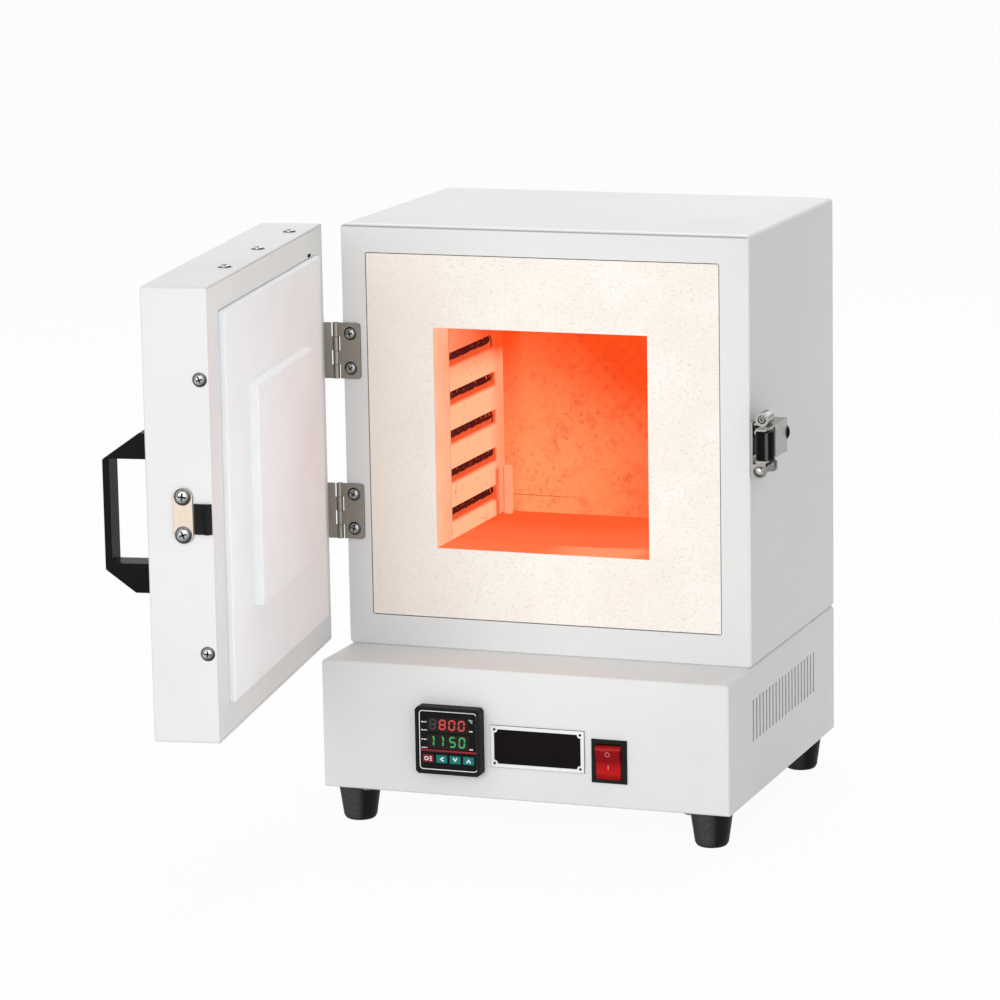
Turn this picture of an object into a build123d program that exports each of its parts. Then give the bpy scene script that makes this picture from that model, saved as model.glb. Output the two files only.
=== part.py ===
from build123d import *
import math
import os

os.makedirs("parts", exist_ok=True)

# Wax burnout oven for a dental laboratory, with its side-hung door standing open.
# Millimetres. In the sizes x runs across from the cabinet's middle, y runs back from
# the base's front face and z runs up from the base's underside.

# Housing
body_width = 300
body_depth = 264.4
base_height = 92.4
cabinet_height = 302.4
front_step = 54.7
sheet = 1.2
wrap_radius = 3
rim_bevel = 0.8
panel_gap = 0.3
soft_gap = 0.3

# Flange round the cabinet's mouth and the fibre fascia inside it
flange_left = 18
flange_right = 21.4
flange_bottom = 22.05
flange_top = 19.65
window_corner = 1.5
fascia_gap = 0.6
fascia_recess = 0.3
fascia_thickness = 30

# Burnout chamber
fascia_left = 50.1
fascia_right = 52.5
fascia_bottom = 50.75
fascia_top = 52
chamber_depth = 142
wall_thickness = 22

# Grooves in the chamber's side walls
groove_pitch = 28
groove_margin = 18
groove_offset = -4.1
groove_height = 8
groove_depth = 10
groove_front = 1.3
groove_back = 13
lip_drop = 4.5
lip_reach = 5

# Heating coils
wire = 0.9
wire_sides = 3
coil_radius = 2.8
coil_inset = 5.5
coil_end_room = 5
coil_bend = 3
coil_seat = 0.3
curls_per_run = 3
link_room = 1.25

# Thermocouple
tube_diameter = 7
tube_height = 35.8
tube_from_wall = 5.4
tube_from_back = 8
tube_fit = 0.3
tube_tip = 1
collar_diameter = 14
collar_height = 10

# Base details
louvre_count = 20
louvre_pitch = 8
louvre_width = 3
louvre_height = 30.1
louvre_middle = 134.3
louvre_rise = 54.25
foot_height = 26.5
foot_top = 30
foot_bottom = 23
foot_edge = 2
foot_bore = 9
foot_bore_depth = 12
foot_from_side = 19
foot_from_front = 20
foot_from_back = 22.4
base_screw_from_side = 30.5
base_screw_from_edge = 5

# Screw heads
head_diameter = 6.4
head_height = 1.8
head_sides = 12
back_screw_inset = 9

# Temperature controller
bezel_size = 48
bezel_proud = 9.6
bezel_chamfer = 2
bezel_rim = 2.4
bezel_pocket = 1.2
case_size = 45
case_depth = 70
cutout_fit = 0.3
controller_x = -52.7
controller_z = 41.4
window_plate = 0.9
key_width = 8
key_height = 5.6
key_pitch = 10.05
key_row_shift = 0.6
key_drop = 12.8
key_fit = 0.2
key_proud = 0.5
key_stem = 1.2
key_travel = 0.5
key_floor = 0.2

# Power switch
switch_x = 63.5
switch_z = 33.2
switch_bezel_width = 25.8
switch_bezel_height = 31
switch_proud = 2
switch_edge = 1
switch_mouth_width = 18
switch_mouth_height = 25.2
switch_body_width = 22
switch_body_height = 27.2
switch_depth = 22
switch_well = 6.5
rocker_side_gap = 0.3
rocker_height = 23.4
rocker_end = 6.4
rocker_crease = 5.2
rocker_skirt = 1
rocker_back = 2.4
rocker_heel = 8
rocker_pivot = 2
rocker_tilt = 8
rocker_pin = 2.4
rocker_pin_reach = 1.2
pin_fit = 0.1

# Name plate
plate_width = 69.2
plate_height = 30.1
plate_thickness = 0.8
plate_x = 10.8
plate_z = 38.4
rivet_diameter = 2.4
rivet_height = 0.5
rivet_inset_x = 3.2
rivet_inset_z = 2.9

# Power inlet on the base's back
inlet_from_side = 58
inlet_z = 44
inlet_flange_width = 31
inlet_flange_height = 24
inlet_flange = 2.5
inlet_body_width = 27
inlet_body_height = 20
inlet_body_depth = 22
inlet_mouth_width = 24.4
inlet_mouth_height = 16.4
inlet_mouth_depth = 16
inlet_corner = 4.5
inlet_pin_width = 4
inlet_pin = 2
inlet_pin_length = 13
inlet_pin_pitch = 7

# Control gear in the base
sink_width = 74
sink_depth = 100
sink_plate = 5
sink_fins = 7
sink_fin = 2
sink_fin_height = 25
sink_x = 55
sink_y = 150
relay_width = 45
relay_depth = 58
relay_height = 22
relay_cover = 3
terminal_width = 60
terminal_depth = 20
terminal_height = 17
terminal_ways = 6
terminal_x = -60
terminal_y = 200
terminal_slot = 6
terminal_slot_depth = 8

# Door
door_open = 81.5
door_overhang_hinge = 4.5
door_overhang_latch = 5.5
door_overhang_top = 0.2
door_base_gap = 2.6
door_gap = 9.2
door_thickness = 44
door_corner = 2
frame_return = 18
board_hinge = 24
board_latch = 28
board_bottom = 21.5
board_top = 20
board_proud = 4.4
board_thickness = 24
board_chamfer = 0.8
plug_clearance = 4
plug_proud = 6.2
plug_chamfer = 1.5
vent_hole = 3.2
vent_hole_inset = 12
vent_hole_drop = 29

# Door handle
handle_from_latch = 10.5
handle_width = 19.5
handle_bottom = 97
handle_height = 105.6
handle_reach = 32
handle_bar = 4.5
handle_foot_low = 19.3
handle_foot_high = 17.1
handle_flat_low = 12
handle_flat_high = 7
handle_slope_low = 15
handle_slope_high = 17.6
handle_corner = 2

# Screws in the door's edges
edge_screw_top_depth = 11.5
edge_screw_side_depth = 6
edge_screw_first = 46
edge_screw_pitch = 87
edge_screw_low = 60
edge_screw_span = 180
flush_head = 0.8

# Hinges
leaf = 1.2
hinge_height = 40
hinge_upper = 212
hinge_lower = 96.4
knuckle_diameter = 4.6
knuckle_gap = 0.3
hinge_pin = 2.2
hinge_bore_fit = 0.1
leaf_width = 18.6
leaf_corner = 2.5
leaf_relief = 1
hinge_screw_from_pin = 11.1
hinge_screw_spread = 24.8
door_leaf_width = 24.1
door_screw_from_pin = 16.6

# Strike on the door's latch edge
strike_from_face = 19.5
strike_width = 13
strike_height = 36.9
strike_rise = 151.15
strike_thickness = 1.5
strike_screw_spread = 25
strike_head = 7.6
tongue_start = 12.2
tongue_end = 0.5
tongue_rise = 149
tongue_height = 20
tongue_heel = 1.5
ridge_height = 3.2
ridge_from_face = 3.6
ridge_width = 1.2
ridge_foot = 1

# Spring-loaded roller latch on the cabinet's right side
latch_plate = 1.6
latch_plate_front = 0.2
latch_plate_depth = 31.1
latch_plate_bottom = 134.6
latch_plate_height = 39
latch_sheet = 1.4
lug = 1.6
lug_span = 28.7
lug_height = 9.5
lug_reach = 11
lug_round = 3
pivot_from_side = 6.5
pivot_rise = 139.4
pivot_pin = 4
pivot_cap = 8
pivot_cap_length = 3
pivot_gap = 0.3
pivot_tail = 0.8
arm_out = 17.8
arm_inner = 2.4
arm_bottom = 149.5
arm_height = 23.3
arm_front = 0.8
arm_depth = 28.5
arm_leg_gap = 0.4
arm_leg_width = 6.6
prong_reach = 22.5
prong_width = 7.6
latch_screw_rise = 165.6
latch_screw_first = 7.3
latch_screw_pitch = 16
roller_diameter = 13
roller_from_side = 15.6
roller_from_front = 16.7
roller_pin = 3
roller_gap = 0.3
roller_edge = 0.6
barrel_diameter = 9.6
barrel_bore = 6
barrel_length = 14
barrel_front = 8.7
barrel_out = 11
barrel_weld = 0.4
barrel_pin_fit = 0.1
dome_diameter = 14.4
dome_length = 7
dome_out = 12.1
dome_rise = 162.2
dome_slope = 4
dome_flat = 2.4

# Torsion spring round the latch's pivot
spring_wire = 1
spring_sides = 3
spring_gap = 0.4
spring_curls = 6
spring_pitch = 3.05
spring_leg_room = 0.9
spring_end_room = 1.2

# Positions that follow from the sizes
cabinet_depth = body_depth - front_step
cabinet_middle = base_height + cabinet_height / 2
half_width = body_width / 2
inlet_x = inlet_from_side - half_width
window_width = body_width - flange_left - flange_right
window_height = cabinet_height - flange_bottom - flange_top
window_x = (flange_left - flange_right) / 2
window_z = base_height + flange_bottom + window_height / 2
chamber_width = window_width - fascia_left - fascia_right
chamber_height = window_height - fascia_bottom - fascia_top
chamber_left = -half_width + flange_left + fascia_left
chamber_right = chamber_left + chamber_width
chamber_bottom = base_height + flange_bottom + fascia_bottom
chamber_top = chamber_bottom + chamber_height
chamber_x = (chamber_left + chamber_right) / 2
chamber_z = (chamber_bottom + chamber_top) / 2
fascia_front = front_step + fascia_recess
fascia_back = fascia_front + fascia_thickness
chamber_back = fascia_front + chamber_depth
lining_width = chamber_width + 2 * wall_thickness
lining_height = chamber_height + 2 * wall_thickness
groove_count = int((chamber_height - 2 * groove_margin) / groove_pitch) + 1
groove_start = fascia_back + groove_front
groove_end = chamber_back - groove_back
door_left = -half_width - door_overhang_hinge
door_right = half_width + door_overhang_latch
door_width = door_right - door_left
door_bottom = base_height + door_base_gap
door_top = base_height + cabinet_height + door_overhang_top
door_height = door_top - door_bottom
door_x = (door_left + door_right) / 2
door_z = (door_bottom + door_top) / 2
door_back = front_step - door_gap
door_front = door_back - door_thickness
pin_x = door_left - leaf / 2
pin_y = front_step - leaf / 2
pivot_x = half_width + pivot_from_side
pivot_z = base_height + pivot_rise
roller_x = half_width + roller_from_side
roller_y = front_step - roller_from_front

# The oven stands on its feet, centred on the ground it covers with the door open.
turn = math.radians(door_open)
rest_left = pin_x + (door_left - pin_x) * math.cos(turn) + (door_front - pin_y) * math.sin(turn)
rest_right = roller_x + roller_diameter / 2
rest_front = pin_y - (door_right - pin_x) * math.sin(turn) + (door_front - pin_y) * math.cos(turn)
rest_back = body_depth + inlet_flange
home_x = -(rest_left + rest_right) / 2
home_y = -(rest_front + rest_back) / 2
home_z = foot_height


# Level plane at a height, seen from above
def level(height):
    return Plane((home_x, home_y, home_z + height))


# Upright plane at a depth, drawn across and up; it grows toward the front
def facing(depth):
    return Plane((home_x, home_y + depth, home_z), x_dir=(1, 0, 0), z_dir=(0, -1, 0))


# Upright plane at a place across, drawn back and up; it grows toward the right
def sideways(across):
    return Plane((home_x + across, home_y, home_z), x_dir=(0, 1, 0), z_dir=(1, 0, 0))


# The door's pieces are drawn closed and stand turned about the hinge pins
hinge_axis = Location((pin_x + home_x, pin_y + home_y, 0))
hinge_turn = hinge_axis * Location((0, 0, 0), (0, 0, -door_open)) * hinge_axis.inverse()


def swung(plane):
    return Plane(hinge_turn * plane.location)


door_out = Axis((0, 0, 0), swung(facing(0)).z_dir)


# Two arcs that leave one station and reach the next along given directions
def biarc(start, start_way, end, end_way):
    gap = end - start
    ways = start_way + end_way
    bend = 2 * (1 - start_way.dot(end_way))
    reach = (math.sqrt(gap.dot(ways) ** 2 + bend * gap.dot(gap)) - gap.dot(ways)) / bend
    near = start + start_way * reach
    far = end - end_way * reach
    middle = (near + far) * 0.5
    TangentArc(start, middle, tangent=start_way)
    TangentArc(middle, end, tangent=far - near)


# Least clear space between parts of one wire that lie over a length apart on it
def least_gap(path, thickness, apart):
    count = int(path.length / 1.5)
    points = [path.position_at(i / count) for i in range(count + 1)]
    skip = int(apart / path.length * count) + 1
    gaps = [
        (points[i] - points[j]).length
        for i in range(count + 1)
        for j in range(i + skip, min(count + 1, i + 12 * skip))
    ]
    return min(gaps) - thickness


# Cabinet: folded sheet wrap with a flange round the mouth
with BuildPart() as cabinet_shell:
    with BuildSketch(facing(front_step)):
        with Locations((0, cabinet_middle)):
            RectangleRounded(body_width, cabinet_height, wrap_radius)
    extrude(amount=-cabinet_depth)
    chamfer(cabinet_shell.faces().sort_by(Axis.Y)[0].edges(), rim_bevel)
    with BuildSketch(facing(front_step + sheet)):
        with Locations((0, cabinet_middle)):
            RectangleRounded(body_width - 2 * sheet, cabinet_height - 2 * sheet, wrap_radius - sheet)
    extrude(amount=-cabinet_depth, mode=Mode.SUBTRACT)
    with BuildSketch(facing(front_step)):
        with Locations((window_x, window_z)):
            RectangleRounded(window_width, window_height, window_corner)
    extrude(amount=-2 * sheet, mode=Mode.SUBTRACT)
cabinet_shell.part.label = "cabinet_shell"
export_step(cabinet_shell.part, "parts/cabinet_shell.step")

with BuildPart() as cabinet_back_panel:
    with BuildSketch(facing(body_depth)):
        with Locations((0, cabinet_middle)):
            RectangleRounded(
                body_width - 2 * (sheet + panel_gap),
                cabinet_height - 2 * (sheet + panel_gap),
                wrap_radius - sheet,
            )
    extrude(amount=sheet)
cabinet_back_panel.part.label = "cabinet_back_panel"
export_step(cabinet_back_panel.part, "parts/cabinet_back_panel.step")

# Fibre fascia round the chamber's mouth
with BuildPart() as front_fascia:
    with BuildSketch(facing(fascia_front)):
        with Locations((window_x, window_z)):
            Rectangle(window_width - 2 * fascia_gap, window_height - 2 * fascia_gap)
        with Locations((chamber_x, chamber_z)):
            Rectangle(chamber_width, chamber_height, mode=Mode.SUBTRACT)
    extrude(amount=-fascia_thickness)
front_fascia.part.label = "front_fascia"
export_step(front_fascia.part, "parts/front_fascia.step")

# Grooved side walls, each with a coil that runs to and fro from groove to groove
groove_top = chamber_z + groove_offset + (groove_count - 1) * groove_pitch / 2
groove_heights = [groove_top - i * groove_pitch for i in range(groove_count)]
run_front = groove_start + coil_end_room
run_back = groove_end - coil_end_room
run_slope = (run_back - run_front) / curls_per_run / (2 * math.pi)
run_slant = math.atan2(run_slope, coil_radius)
bend_out = coil_bend * (1 - math.cos(run_slant))
bend_down = coil_bend * math.sin(run_slant)
link_size = wire + 2 * link_room

for side, face, name in ((-1, chamber_left, "left"), (1, chamber_right, "right")):
    link_x = face + side * (coil_inset + coil_radius)

    with BuildPart() as chamber_wall:
        with BuildSketch(facing(fascia_back)):
            with Locations((face + side * wall_thickness / 2, chamber_z)):
                Rectangle(wall_thickness, chamber_height)
        extrude(amount=fascia_back - chamber_back)
        with BuildSketch(facing(groove_start)):
            for height in groove_heights:
                with BuildLine():
                    Polyline(
                        (face - side, height + groove_height / 2),
                        (face + side * groove_depth, height + groove_height / 2),
                        (face + side * groove_depth, height - groove_height / 2),
                        (face + side * lip_reach, height - groove_height / 2),
                        (face, height - groove_height / 2 - lip_drop),
                        (face - side, height - groove_height / 2 - lip_drop),
                        close=True,
                    )
                make_face()
        extrude(amount=groove_start - groove_end, mode=Mode.SUBTRACT)
        for i in range(groove_count - 1):
            with BuildSketch(level(groove_heights[i])):
                with Locations((link_x, run_back + bend_out if i % 2 == 0 else run_front - bend_out)):
                    Rectangle(link_size, link_size)
            extrude(amount=-groove_pitch, mode=Mode.SUBTRACT)
    chamber_wall.part.label = f"chamber_{name}_wall"
    export_step(chamber_wall.part, f"parts/chamber_{name}_wall.step")

    with BuildPart() as heating_coil:
        with BuildLine() as coil_path:
            lift = coil_radius + wire / 2 + coil_seat - groove_height / 2
            ceiling = groove_heights[0] + groove_height / 2
            above = Vector(home_x + link_x, home_y + run_front - bend_out, home_z + ceiling)
            for i, height in enumerate(groove_heights):
                way = 1 if i % 2 == 0 else -1
                outset = run_front if i % 2 == 0 else run_back
                stations = []
                for k in range(2 * curls_per_run + 1):
                    turned = 1 if k % 2 == 0 else -1
                    spot = Vector(
                        home_x + face + side * (coil_inset + turned * coil_radius),
                        home_y + outset + way * k * math.pi * run_slope,
                        home_z + height + lift,
                    )
                    lean = Vector(0, way * run_slope, -turned * coil_radius)
                    stations.append((spot, lean.normalized()))
                first = stations[0][0]
                last = stations[-1][0]
                enter = first + Vector(0, -way * bend_out, bend_down)
                leave = last + Vector(0, way * bend_out, -bend_down)
                Line(above, enter)
                TangentArc(enter, first, tangent=(0, 0, -1))
                for (start, start_way), (end, end_way) in zip(stations, stations[1:]):
                    biarc(start, start_way, end, end_way)
                TangentArc(last, leave, tangent=stations[-1][1])
                above = leave
            Line(above, (above.X, above.Y, home_z + height - groove_height / 2))
        with BuildSketch(Plane(coil_path.line @ 0, x_dir=(0, 1, 0), z_dir=(0, 0, -1))):
            RegularPolygon(wire / 2, wire_sides)
        sweep(path=coil_path.wires()[0], clean=False)
    print(name, "coil: least self gap", round(least_gap(coil_path.wires()[0], wire, 2 * coil_radius), 2))
    heating_coil.part.label = f"heating_coil_{name}"
    export_step(heating_coil.part, f"parts/heating_coil_{name}.step")

tube_x = chamber_left + tube_from_wall
tube_y = chamber_back - tube_from_back
with BuildPart() as chamber_floor:
    with BuildSketch(facing(fascia_back)):
        with Locations((chamber_x, chamber_bottom - wall_thickness / 2)):
            Rectangle(lining_width, wall_thickness)
    extrude(amount=fascia_back - chamber_back)
    with BuildSketch(level(chamber_bottom)):
        with Locations((tube_x, tube_y)):
            Circle(tube_diameter / 2 + tube_fit)
    extrude(amount=-wall_thickness, mode=Mode.SUBTRACT)
chamber_floor.part.label = "chamber_floor"
export_step(chamber_floor.part, "parts/chamber_floor.step")

with BuildPart() as chamber_roof:
    with BuildSketch(facing(fascia_back)):
        with Locations((chamber_x, chamber_top + wall_thickness / 2)):
            Rectangle(lining_width, wall_thickness)
    extrude(amount=fascia_back - chamber_back)
chamber_roof.part.label = "chamber_roof"
export_step(chamber_roof.part, "parts/chamber_roof.step")

with BuildPart() as chamber_back_wall:
    with BuildSketch(facing(chamber_back)):
        with Locations((chamber_x, chamber_z)):
            Rectangle(lining_width, lining_height)
    extrude(amount=-wall_thickness)
chamber_back_wall.part.label = "chamber_back_wall"
export_step(chamber_back_wall.part, "parts/chamber_back_wall.step")

# Thermocouple sheath that stands in the chamber's back left corner
with BuildPart() as thermocouple_tube:
    with BuildSketch(level(chamber_bottom - wall_thickness)):
        with Locations((tube_x, tube_y)):
            Circle(tube_diameter / 2)
    extrude(amount=wall_thickness + tube_height)
    chamfer(thermocouple_tube.faces().sort_by(Axis.Z)[-1].edges(), tube_tip)
    with BuildSketch(level(chamber_bottom - wall_thickness)):
        with Locations((tube_x, tube_y)):
            Circle(collar_diameter / 2)
    extrude(amount=-collar_height)
thermocouple_tube.part.label = "thermocouple_tube"
export_step(thermocouple_tube.part, "parts/thermocouple_tube.step")

# Wool blanket packed round the lining
with BuildPart() as insulation_wool:
    with BuildSketch(facing(fascia_back + soft_gap)):
        with Locations((0, cabinet_middle)):
            RectangleRounded(
                body_width - 2 * (sheet + soft_gap),
                cabinet_height - 2 * (sheet + soft_gap),
                wrap_radius - sheet,
            )
    extrude(amount=fascia_back + sheet + 2 * soft_gap - body_depth)
    with BuildSketch(facing(fascia_back)):
        with Locations((chamber_x, chamber_z)):
            Rectangle(lining_width + 2 * soft_gap, lining_height + 2 * soft_gap)
    extrude(amount=fascia_back - chamber_back - wall_thickness - soft_gap, mode=Mode.SUBTRACT)
    with BuildSketch(level(chamber_bottom)):
        with Locations((tube_x, tube_y)):
            Circle(collar_diameter / 2 + soft_gap)
    extrude(amount=-wall_thickness - collar_height - soft_gap, mode=Mode.SUBTRACT)
insulation_wool.part.label = "insulation_wool"
export_step(insulation_wool.part, "parts/insulation_wool.step")

# Base: folded cover with the controls' cut-outs and the vents
with BuildPart() as base_cover:
    with BuildSketch(facing(0)) as base_outline:
        with Locations((0, base_height / 2)):
            Rectangle(body_width, base_height)
        fillet(base_outline.vertices().group_by(Axis.Y)[-1], wrap_radius)
    extrude(amount=-body_depth)
    chamfer(base_cover.faces().sort_by(Axis.Y)[0].edges(), rim_bevel)
    with BuildSketch(facing(sheet)) as base_inside:
        with Locations((0, (base_height - sheet) / 2)):
            Rectangle(body_width - 2 * sheet, base_height - sheet)
        fillet(base_inside.vertices().group_by(Axis.Y)[-1], wrap_radius - sheet)
    extrude(amount=-body_depth, mode=Mode.SUBTRACT)
    with BuildSketch(facing(0)):
        with Locations((controller_x, controller_z)):
            Rectangle(case_size + 2 * cutout_fit, case_size + 2 * cutout_fit)
        with Locations((switch_x, switch_z)):
            Rectangle(switch_body_width + 2 * cutout_fit, switch_body_height + 2 * cutout_fit)
    extrude(amount=-2 * sheet, mode=Mode.SUBTRACT)
    with BuildSketch(sideways(0)):
        with Locations((louvre_middle, louvre_rise)):
            with GridLocations(louvre_pitch, louvre_height, louvre_count, 1):
                Rectangle(louvre_width, louvre_height)
    extrude(amount=body_width, both=True, mode=Mode.SUBTRACT)
base_cover.part.label = "base_cover"
export_step(base_cover.part, "parts/base_cover.step")

inner_width = body_width - 2 * (sheet + panel_gap)
with BuildPart() as base_bottom_plate:
    with BuildSketch(level(0)):
        with Locations((0, body_depth / 2)):
            Rectangle(inner_width, body_depth - 2 * (sheet + panel_gap))
    extrude(amount=sheet)
base_bottom_plate.part.label = "base_bottom_plate"
export_step(base_bottom_plate.part, "parts/base_bottom_plate.step")

with BuildPart() as base_back_panel:
    with BuildSketch(facing(body_depth)) as panel_outline:
        with Locations((0, (base_height - sheet - panel_gap) / 2)):
            Rectangle(inner_width, base_height - sheet - panel_gap)
        fillet(panel_outline.vertices().group_by(Axis.Y)[-1], wrap_radius - sheet)
        with Locations((inlet_x, inlet_z)):
            Rectangle(
                inlet_body_width + 2 * cutout_fit,
                inlet_body_height + 2 * cutout_fit,
                mode=Mode.SUBTRACT,
            )
    extrude(amount=sheet)
base_back_panel.part.label = "base_back_panel"
export_step(base_back_panel.part, "parts/base_back_panel.step")

# Rubber feet under the base
foot_x = half_width - foot_from_side
foot_back_y = body_depth - foot_from_back
for name, spot in (
    ("front_left", (-foot_x, foot_from_front)),
    ("front_right", (foot_x, foot_from_front)),
    ("back_left", (-foot_x, foot_back_y)),
    ("back_right", (foot_x, foot_back_y)),
):
    with BuildPart() as foot:
        with BuildSketch(Plane(facing(spot[1]).location * Location((spot[0], 0, 0)))):
            with BuildLine():
                Polyline(
                    (0, 0),
                    (foot_top / 2, 0),
                    (foot_bottom / 2, foot_edge - foot_height),
                    (foot_bottom / 2 - foot_edge, -foot_height),
                    (foot_bore / 2, -foot_height),
                    (foot_bore / 2, foot_bore_depth - foot_height),
                    (0, foot_bore_depth - foot_height),
                    close=True,
                )
            make_face()
        revolve(axis=Axis((home_x + spot[0], home_y + spot[1], 0), (0, 0, 1)))
    foot.part.label = f"foot_{name}"
    export_step(foot.part, f"parts/foot_{name}.step")

# Temperature controller: case behind the panel, bezel, window and four keys
with BuildPart() as controller_case:
    with BuildSketch(facing(0)):
        with Locations((controller_x, controller_z)):
            Rectangle(case_size, case_size)
    extrude(amount=-case_depth)
controller_case.part.label = "controller_case"
export_step(controller_case.part, "parts/controller_case.step")

key_spots = [
    (controller_x + key_row_shift + (i - 1.5) * key_pitch, controller_z - key_drop)
    for i in range(4)
]
glass_size = bezel_size - 2 * bezel_rim
glass_back = -bezel_proud + bezel_pocket
key_well = window_plate + key_stem + key_travel + key_floor
with BuildPart() as controller_bezel:
    with BuildSketch(facing(0)):
        with Locations((controller_x, controller_z)):
            Rectangle(bezel_size, bezel_size)
    extrude(amount=bezel_proud)
    chamfer(controller_bezel.edges().filter_by(Axis.Y), bezel_chamfer)
    with BuildSketch(facing(-bezel_proud)):
        with Locations((controller_x, controller_z)):
            Rectangle(glass_size, glass_size)
    extrude(amount=-bezel_pocket, mode=Mode.SUBTRACT)
    with BuildSketch(facing(glass_back)):
        with Locations(*key_spots):
            Rectangle(key_width + 2 * key_fit, key_height + 2 * key_fit)
    extrude(amount=window_plate - key_well, mode=Mode.SUBTRACT)
controller_bezel.part.label = "controller_bezel"
export_step(controller_bezel.part, "parts/controller_bezel.step")

with BuildPart() as controller_window:
    with BuildSketch(facing(glass_back)):
        with Locations((controller_x, controller_z)):
            Rectangle(glass_size - 2 * key_fit, glass_size - 2 * key_fit)
        with Locations(*key_spots):
            Rectangle(key_width + 2 * key_fit, key_height + 2 * key_fit, mode=Mode.SUBTRACT)
    extrude(amount=window_plate)
controller_window.part.label = "controller_window"
export_step(controller_window.part, "parts/controller_window.step")

for spot, name in zip(key_spots, ("set", "left", "down", "up")):
    with BuildPart() as key:
        with BuildSketch(facing(glass_back - window_plate - key_proud)):
            with Locations(spot):
                Rectangle(key_width, key_height)
        extrude(amount=-(key_proud + window_plate + key_stem))
    key.part.label = f"key_{name}"
    export_step(key.part, f"parts/key_{name}.step")

# Power switch with its rocker pressed at the lower end
with BuildPart() as switch_body:
    with BuildSketch(facing(0)):
        with Locations((switch_x, switch_z)):
            Rectangle(switch_bezel_width, switch_bezel_height)
    extrude(amount=switch_proud)
    chamfer(switch_body.faces().sort_by(Axis.Y)[0].edges(), switch_edge)
    with BuildSketch(facing(0)):
        with Locations((switch_x, switch_z)):
            Rectangle(switch_body_width, switch_body_height)
    extrude(amount=-switch_depth)
    with BuildSketch(facing(-switch_proud)):
        with Locations((switch_x, switch_z)):
            Rectangle(switch_mouth_width, switch_mouth_height)
    extrude(amount=-switch_proud - switch_well, mode=Mode.SUBTRACT)
    with BuildSketch(sideways(switch_x)):
        with Locations((rocker_pivot, switch_z)):
            Circle(rocker_pin / 2 + pin_fit)
    extrude(
        amount=switch_mouth_width / 2 + rocker_pin_reach + rocker_side_gap,
        both=True,
        mode=Mode.SUBTRACT,
    )
switch_body.part.label = "switch_body"
export_step(switch_body.part, "parts/switch_body.step")

rocker_turn = Location((rocker_pivot, switch_z, 0), (0, 0, rocker_tilt))
rocker_plane = Plane(sideways(switch_x).location * rocker_turn)
with BuildPart() as switch_rocker:
    with BuildSketch(rocker_plane):
        with BuildLine():
            Polyline(
                (-rocker_crease, 0),
                (-rocker_end, rocker_height / 2),
                (-rocker_skirt, rocker_height / 2),
                (rocker_back, rocker_heel),
                (rocker_back, -rocker_heel),
                (-rocker_skirt, -rocker_height / 2),
                (-rocker_end, -rocker_height / 2),
                close=True,
            )
        make_face()
    extrude(amount=switch_mouth_width / 2 - rocker_side_gap, both=True)
    with BuildSketch(rocker_plane):
        Circle(rocker_pin / 2)
    extrude(amount=switch_mouth_width / 2 + rocker_pin_reach, both=True)
switch_rocker.part.label = "switch_rocker"
export_step(switch_rocker.part, "parts/switch_rocker.step")

# Name plate and its rivets
with BuildPart() as name_plate:
    with BuildSketch(facing(0)):
        with Locations((plate_x, plate_z)):
            Rectangle(plate_width, plate_height)
    extrude(amount=plate_thickness)
name_plate.part.label = "name_plate"
export_step(name_plate.part, "parts/name_plate.step")

with BuildPart() as name_plate_rivets:
    with BuildSketch(facing(-plate_thickness)):
        with Locations((plate_x, plate_z)):
            with GridLocations(plate_width - 2 * rivet_inset_x, plate_height - 2 * rivet_inset_z, 2, 2):
                RegularPolygon(rivet_diameter / 2, head_sides)
    extrude(amount=rivet_height)
name_plate_rivets.part.label = "name_plate_rivets"
export_step(name_plate_rivets.part, "parts/name_plate_rivets.step")

# Power inlet, seen from the back
with BuildPart() as power_inlet:
    with BuildSketch(facing(body_depth)):
        with Locations((inlet_x, inlet_z)):
            Rectangle(inlet_flange_width, inlet_flange_height)
    extrude(amount=-inlet_flange)
    with BuildSketch(facing(body_depth)):
        with Locations((inlet_x, inlet_z)):
            Rectangle(inlet_body_width, inlet_body_height)
    extrude(amount=inlet_body_depth)
    with BuildSketch(facing(body_depth + inlet_flange)) as inlet_mouth:
        with Locations((inlet_x, inlet_z)):
            Rectangle(inlet_mouth_width, inlet_mouth_height)
        chamfer(inlet_mouth.vertices().group_by(Axis.Y)[-1], inlet_corner)
    extrude(amount=inlet_mouth_depth, mode=Mode.SUBTRACT)
    with BuildSketch(facing(body_depth + inlet_flange - inlet_mouth_depth)):
        with Locations((inlet_x - inlet_pin_pitch, inlet_z), (inlet_x + inlet_pin_pitch, inlet_z)):
            Rectangle(inlet_pin, inlet_pin_width)
        with Locations((inlet_x, inlet_z + inlet_pin_width)):
            Rectangle(inlet_pin, inlet_pin_width)
    extrude(amount=-inlet_pin_length)
power_inlet.part.label = "power_inlet"
export_step(power_inlet.part, "parts/power_inlet.step")

# Relay on its heat sink, and the terminal block
with BuildPart() as relay_heatsink:
    with BuildSketch(level(sheet + sink_fin_height)):
        with Locations((sink_x, sink_y)):
            Rectangle(sink_width, sink_depth)
    extrude(amount=sink_plate)
    with BuildSketch(level(sheet)):
        with Locations((sink_x, sink_y)):
            with GridLocations((sink_width - sink_fin) / (sink_fins - 1), 0, sink_fins, 1):
                Rectangle(sink_fin, sink_depth)
    extrude(amount=sink_fin_height)
relay_heatsink.part.label = "relay_heatsink"
export_step(relay_heatsink.part, "parts/relay_heatsink.step")

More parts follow.
